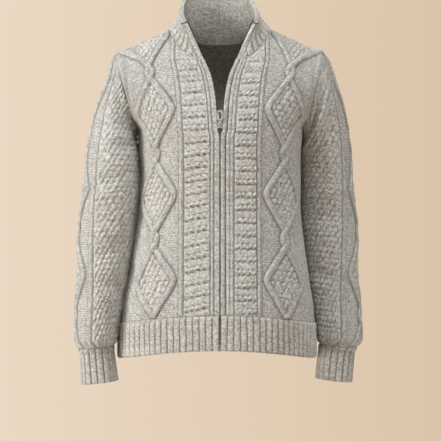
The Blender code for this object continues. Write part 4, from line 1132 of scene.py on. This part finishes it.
def halfCollar(side):
    k = collarSet
    shares = np.linspace(0, 1, k["ribs"] * k["perRib"] + 1)
    ups = np.linspace(0, 1, k["rows"])
    net, normal = collarNet(side, shares, ups)
    normal[1] = unit(normal[0] + normal[2] * 2)
    high = np.linalg.norm(net - net[0], axis=2)
    lean = k["lean"] * step01(k["leanFrom"], k["leanFull"], shares)
    x = (shares - lean * ups[:, None]) * k["ribs"] + 0.5
    lift = k["high"] * ribLift(x) * (1 + k["uneven"] * softNoise(x, high, 0.9, 15))
    edge = np.linalg.norm(net - net[:, -1:], axis=2)
    band = step01(*k["band"], edge)  # plain band beside the zip
    lift = (lift * (1 - band) * step01(*k["ribsFrom"], edge)
            + k["bandHigh"] * band * step01(*k["bandEdge"], edge))
    lift *= (0.7 + 0.3 * step01(0, k["seamFade"], ups))[:, None]
    lift *= (0.6 + 0.4 * step01(0, k["topFade"], 1 - ups))[:, None]
    thick = form["wall"] + (form["collarWall"] - form["wall"]) * step01(0, k["thickFrom"], ups)
    inside = ribData(x, high, np.zeros_like(x), k["rib"], k["insideSeed"])
    return (net + normal * lift[..., None], net - normal * thick[:, None, None],
            ribData(x, high, lift, k["rib"], k["seed"]).data(deep=hemSet["deep"]), inside.data())


addJoined("ribCollar", "collar", ribLook, halfCollar, step=2)
print("stage: collar")

# zip: tapes, teeth, slider, pull and end box
zipSet = {"width": 0.0130, "thick": 0.0010, "gap": 0.0008, "behindCollar": 0.0013, "pitch": 0.0029,
          "toothWide": 0.0034, "toothTall": 0.0013, "toothDeep": 0.0019, "toothCut": 0.0004,
          "toothOff": 0.0001, "toothIn": 0.0004, "soften": 0.00035, "collarAlong": 0.055, "across": 7,
          # rows of points: up to a level, on from a level, then from and to a share of the collar's height
          "lowRows": (0.94, 110), "topRows": (0.945, 70), "collarRows": (0.16, 0.985, 36)}
tapeSet = {"dark": (0.115, 0.108, 0.098, 1), "light": (0.20, 0.19, 0.172, 1), "twill": 2600.0,
           "fine": 900.0, "rough": 0.85}
# the light metal colour of the pull and slider stands for wear and for painted highlights
metalSet = {"teethDark": (0.030, 0.029, 0.027, 1), "teethWorn": (0.16, 0.155, 0.15, 1),
            "dark": (0.10, 0.097, 0.092, 1), "worn": (0.95, 0.94, 0.92, 1), "rough": 0.34,
            "cloud": 300.0, "fine": 2400.0}


def tapePaint():
    paint = Paint("tapeCloth")
    place = paint.place()
    twill = ((paint.part(place, 2) + paint.part(place, 0)) * tapeSet["twill"]).math("SINE") * 0.5 + 0.5
    fine = paint.noise(place, tapeSet["fine"])
    paint.shader({"Base Color": paint.mix(twill * 0.35 + fine * 0.5, tapeSet["dark"], tapeSet["light"]),
                  "Normal": paint.bump(twill + fine * 0.5, 0.0002, 0.8),
                  "Roughness": tapeSet["rough"], "Specular IOR Level": 0.2})
    return paint.mat


def metalPaint(name, dark, worn):
    paint = Paint(name)
    place = paint.place()
    # painted highlight and wear: the cloud noise spreads patches of the lighter colour over the metal
    cloud = ((paint.noise(place, metalSet["cloud"]) - 0.5) * 2.6 + 0.55).clamped()
    rough = metalSet["rough"] + (paint.noise(place, metalSet["fine"]) - 0.5) * 0.25
    paint.shader({"Base Color": paint.mix(cloud, dark, worn), "Metallic": 0.3, "Roughness": rough})
    return paint.mat


def tapeNet(side, across, levels, ups, along):
    lower, lowerOut = layNet(side, -1, placeTape, across, levels)
    upper, upperOut = collarNet(side, 1 - along, ups)
    deep = np.concatenate((np.full(len(levels), form["wall"]),
                           np.full(len(ups), form["collarWall"] + zipSet["behindCollar"])))
    net, out = np.concatenate((lower, upper)), np.concatenate((lowerOut, upperOut))
    return net - out * (deep + zipSet["gap"])[:, None, None], out


def addTapes(mat):
    across = np.linspace(0, 1, zipSet["across"]) * zipSet["width"]
    along = np.linspace(0, zipSet["collarAlong"], zipSet["across"])
    low = (form["hemZ"] - form["ribTopZ"] + form["seam"]) / (form["underarmZ"] - form["ribTopZ"])
    top = float(neckLevel(-1, form["edge"]))
    (lowEnd, lowCount), (topStart, topCount) = zipSet["lowRows"], zipSet["topRows"]
    levels = np.concatenate((np.linspace(low, lowEnd, lowCount), np.linspace(topStart, top, topCount)))
    ups = np.linspace(*zipSet["collarRows"])
    nets = {side: tapeNet(side, across, levels, ups, along) for side in ("right", "left")}

    def tapeWall(side):
        face, out = nets[side]
        data = plainData(filled(across, face), filled(travelled(face[:, 0])[:, None], face))
        return face, face - out * zipSet["thick"], data, data
    addSides("zipTape", "zip_tape_", (mat, "zip_tape_cloth"), tapeWall)
    return {side: (face[:, 0], out[:, 0], unit(face[:, 1] - face[:, 0]))
            for side, (face, out) in nets.items()}


def box(size, chamfer):  # corners and faces of a small block with cut long edges
    x, y, z = size
    ring = [(-x, -y + chamfer), (-x + chamfer, -y), (x - chamfer, -y), (x, -y + chamfer), (x, y), (-x, y)]
    verts = [(a, b, c) for c in (-z, z) for a, b in ring]
    n = len(ring)
    faces = [tuple(range(n))[::-1], tuple(range(n, 2 * n))]
    faces += [(k, (k + 1) % n, n + (k + 1) % n, n + k) for k in range(n)]
    return np.array(verts), faces


def addTeeth(mat, rims):
    size = (zipSet["toothWide"] / 2, zipSet["toothDeep"] / 2, zipSet["toothTall"] / 2)
    block, blockFaces = box(size, zipSet["toothCut"])
    pitch = zipSet["pitch"]
    for k, side in enumerate(("right", "left")):  # the left row starts half a pitch higher
        rim, out, across = rims[side]
        length = travelled(rim)
        spots = np.arange(pitch * (1 + 0.5 * k), length[-1] - pitch * 0.5, pitch)
        place, front, inside = (resample(part, length, spots) for part in (rim, out, across))
        up = unit(resample(np.gradient(rim, axis=0), length, spots))
        verts, faces = [], []
        for n in range(len(spots)):
            axes = np.stack([inside[n], -unit(np.cross(up[n], inside[n])), up[n]])
            middle = place[n] + front[n] * (size[1] + zipSet["toothOff"]) + inside[n] * zipSet["toothIn"]
            faces += [tuple(len(verts) + v for v in face) for face in blockFaces]
            verts += list(block @ axes + middle)
        piece = addCloth("zipTeeth" + side.title(), mat, mirrored(np.array(verts), side), faces, sharp=30)
        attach(piece, "sweater")


def dressMetal(mat):
    for node in ("zip_slider", "zip_pull", "zip_box"):
        obj = next(o for o in bpy.context.scene.objects if o.name.split(".")[0] == node)
        obj.data.materials.clear()
        obj.data.materials.append(mat)
        bevel = obj.modifiers.new("soften", "BEVEL")
        bevel.width, bevel.segments, bevel.limit_method = zipSet["soften"], 2, "ANGLE"


zipRims = addTapes(tapePaint())
addTeeth(metalPaint("teethMetal", metalSet["teethDark"], metalSet["teethWorn"]), zipRims)
dressMetal(metalPaint("wornMetal", metalSet["dark"], metalSet["worn"]))
print("stage: zip")
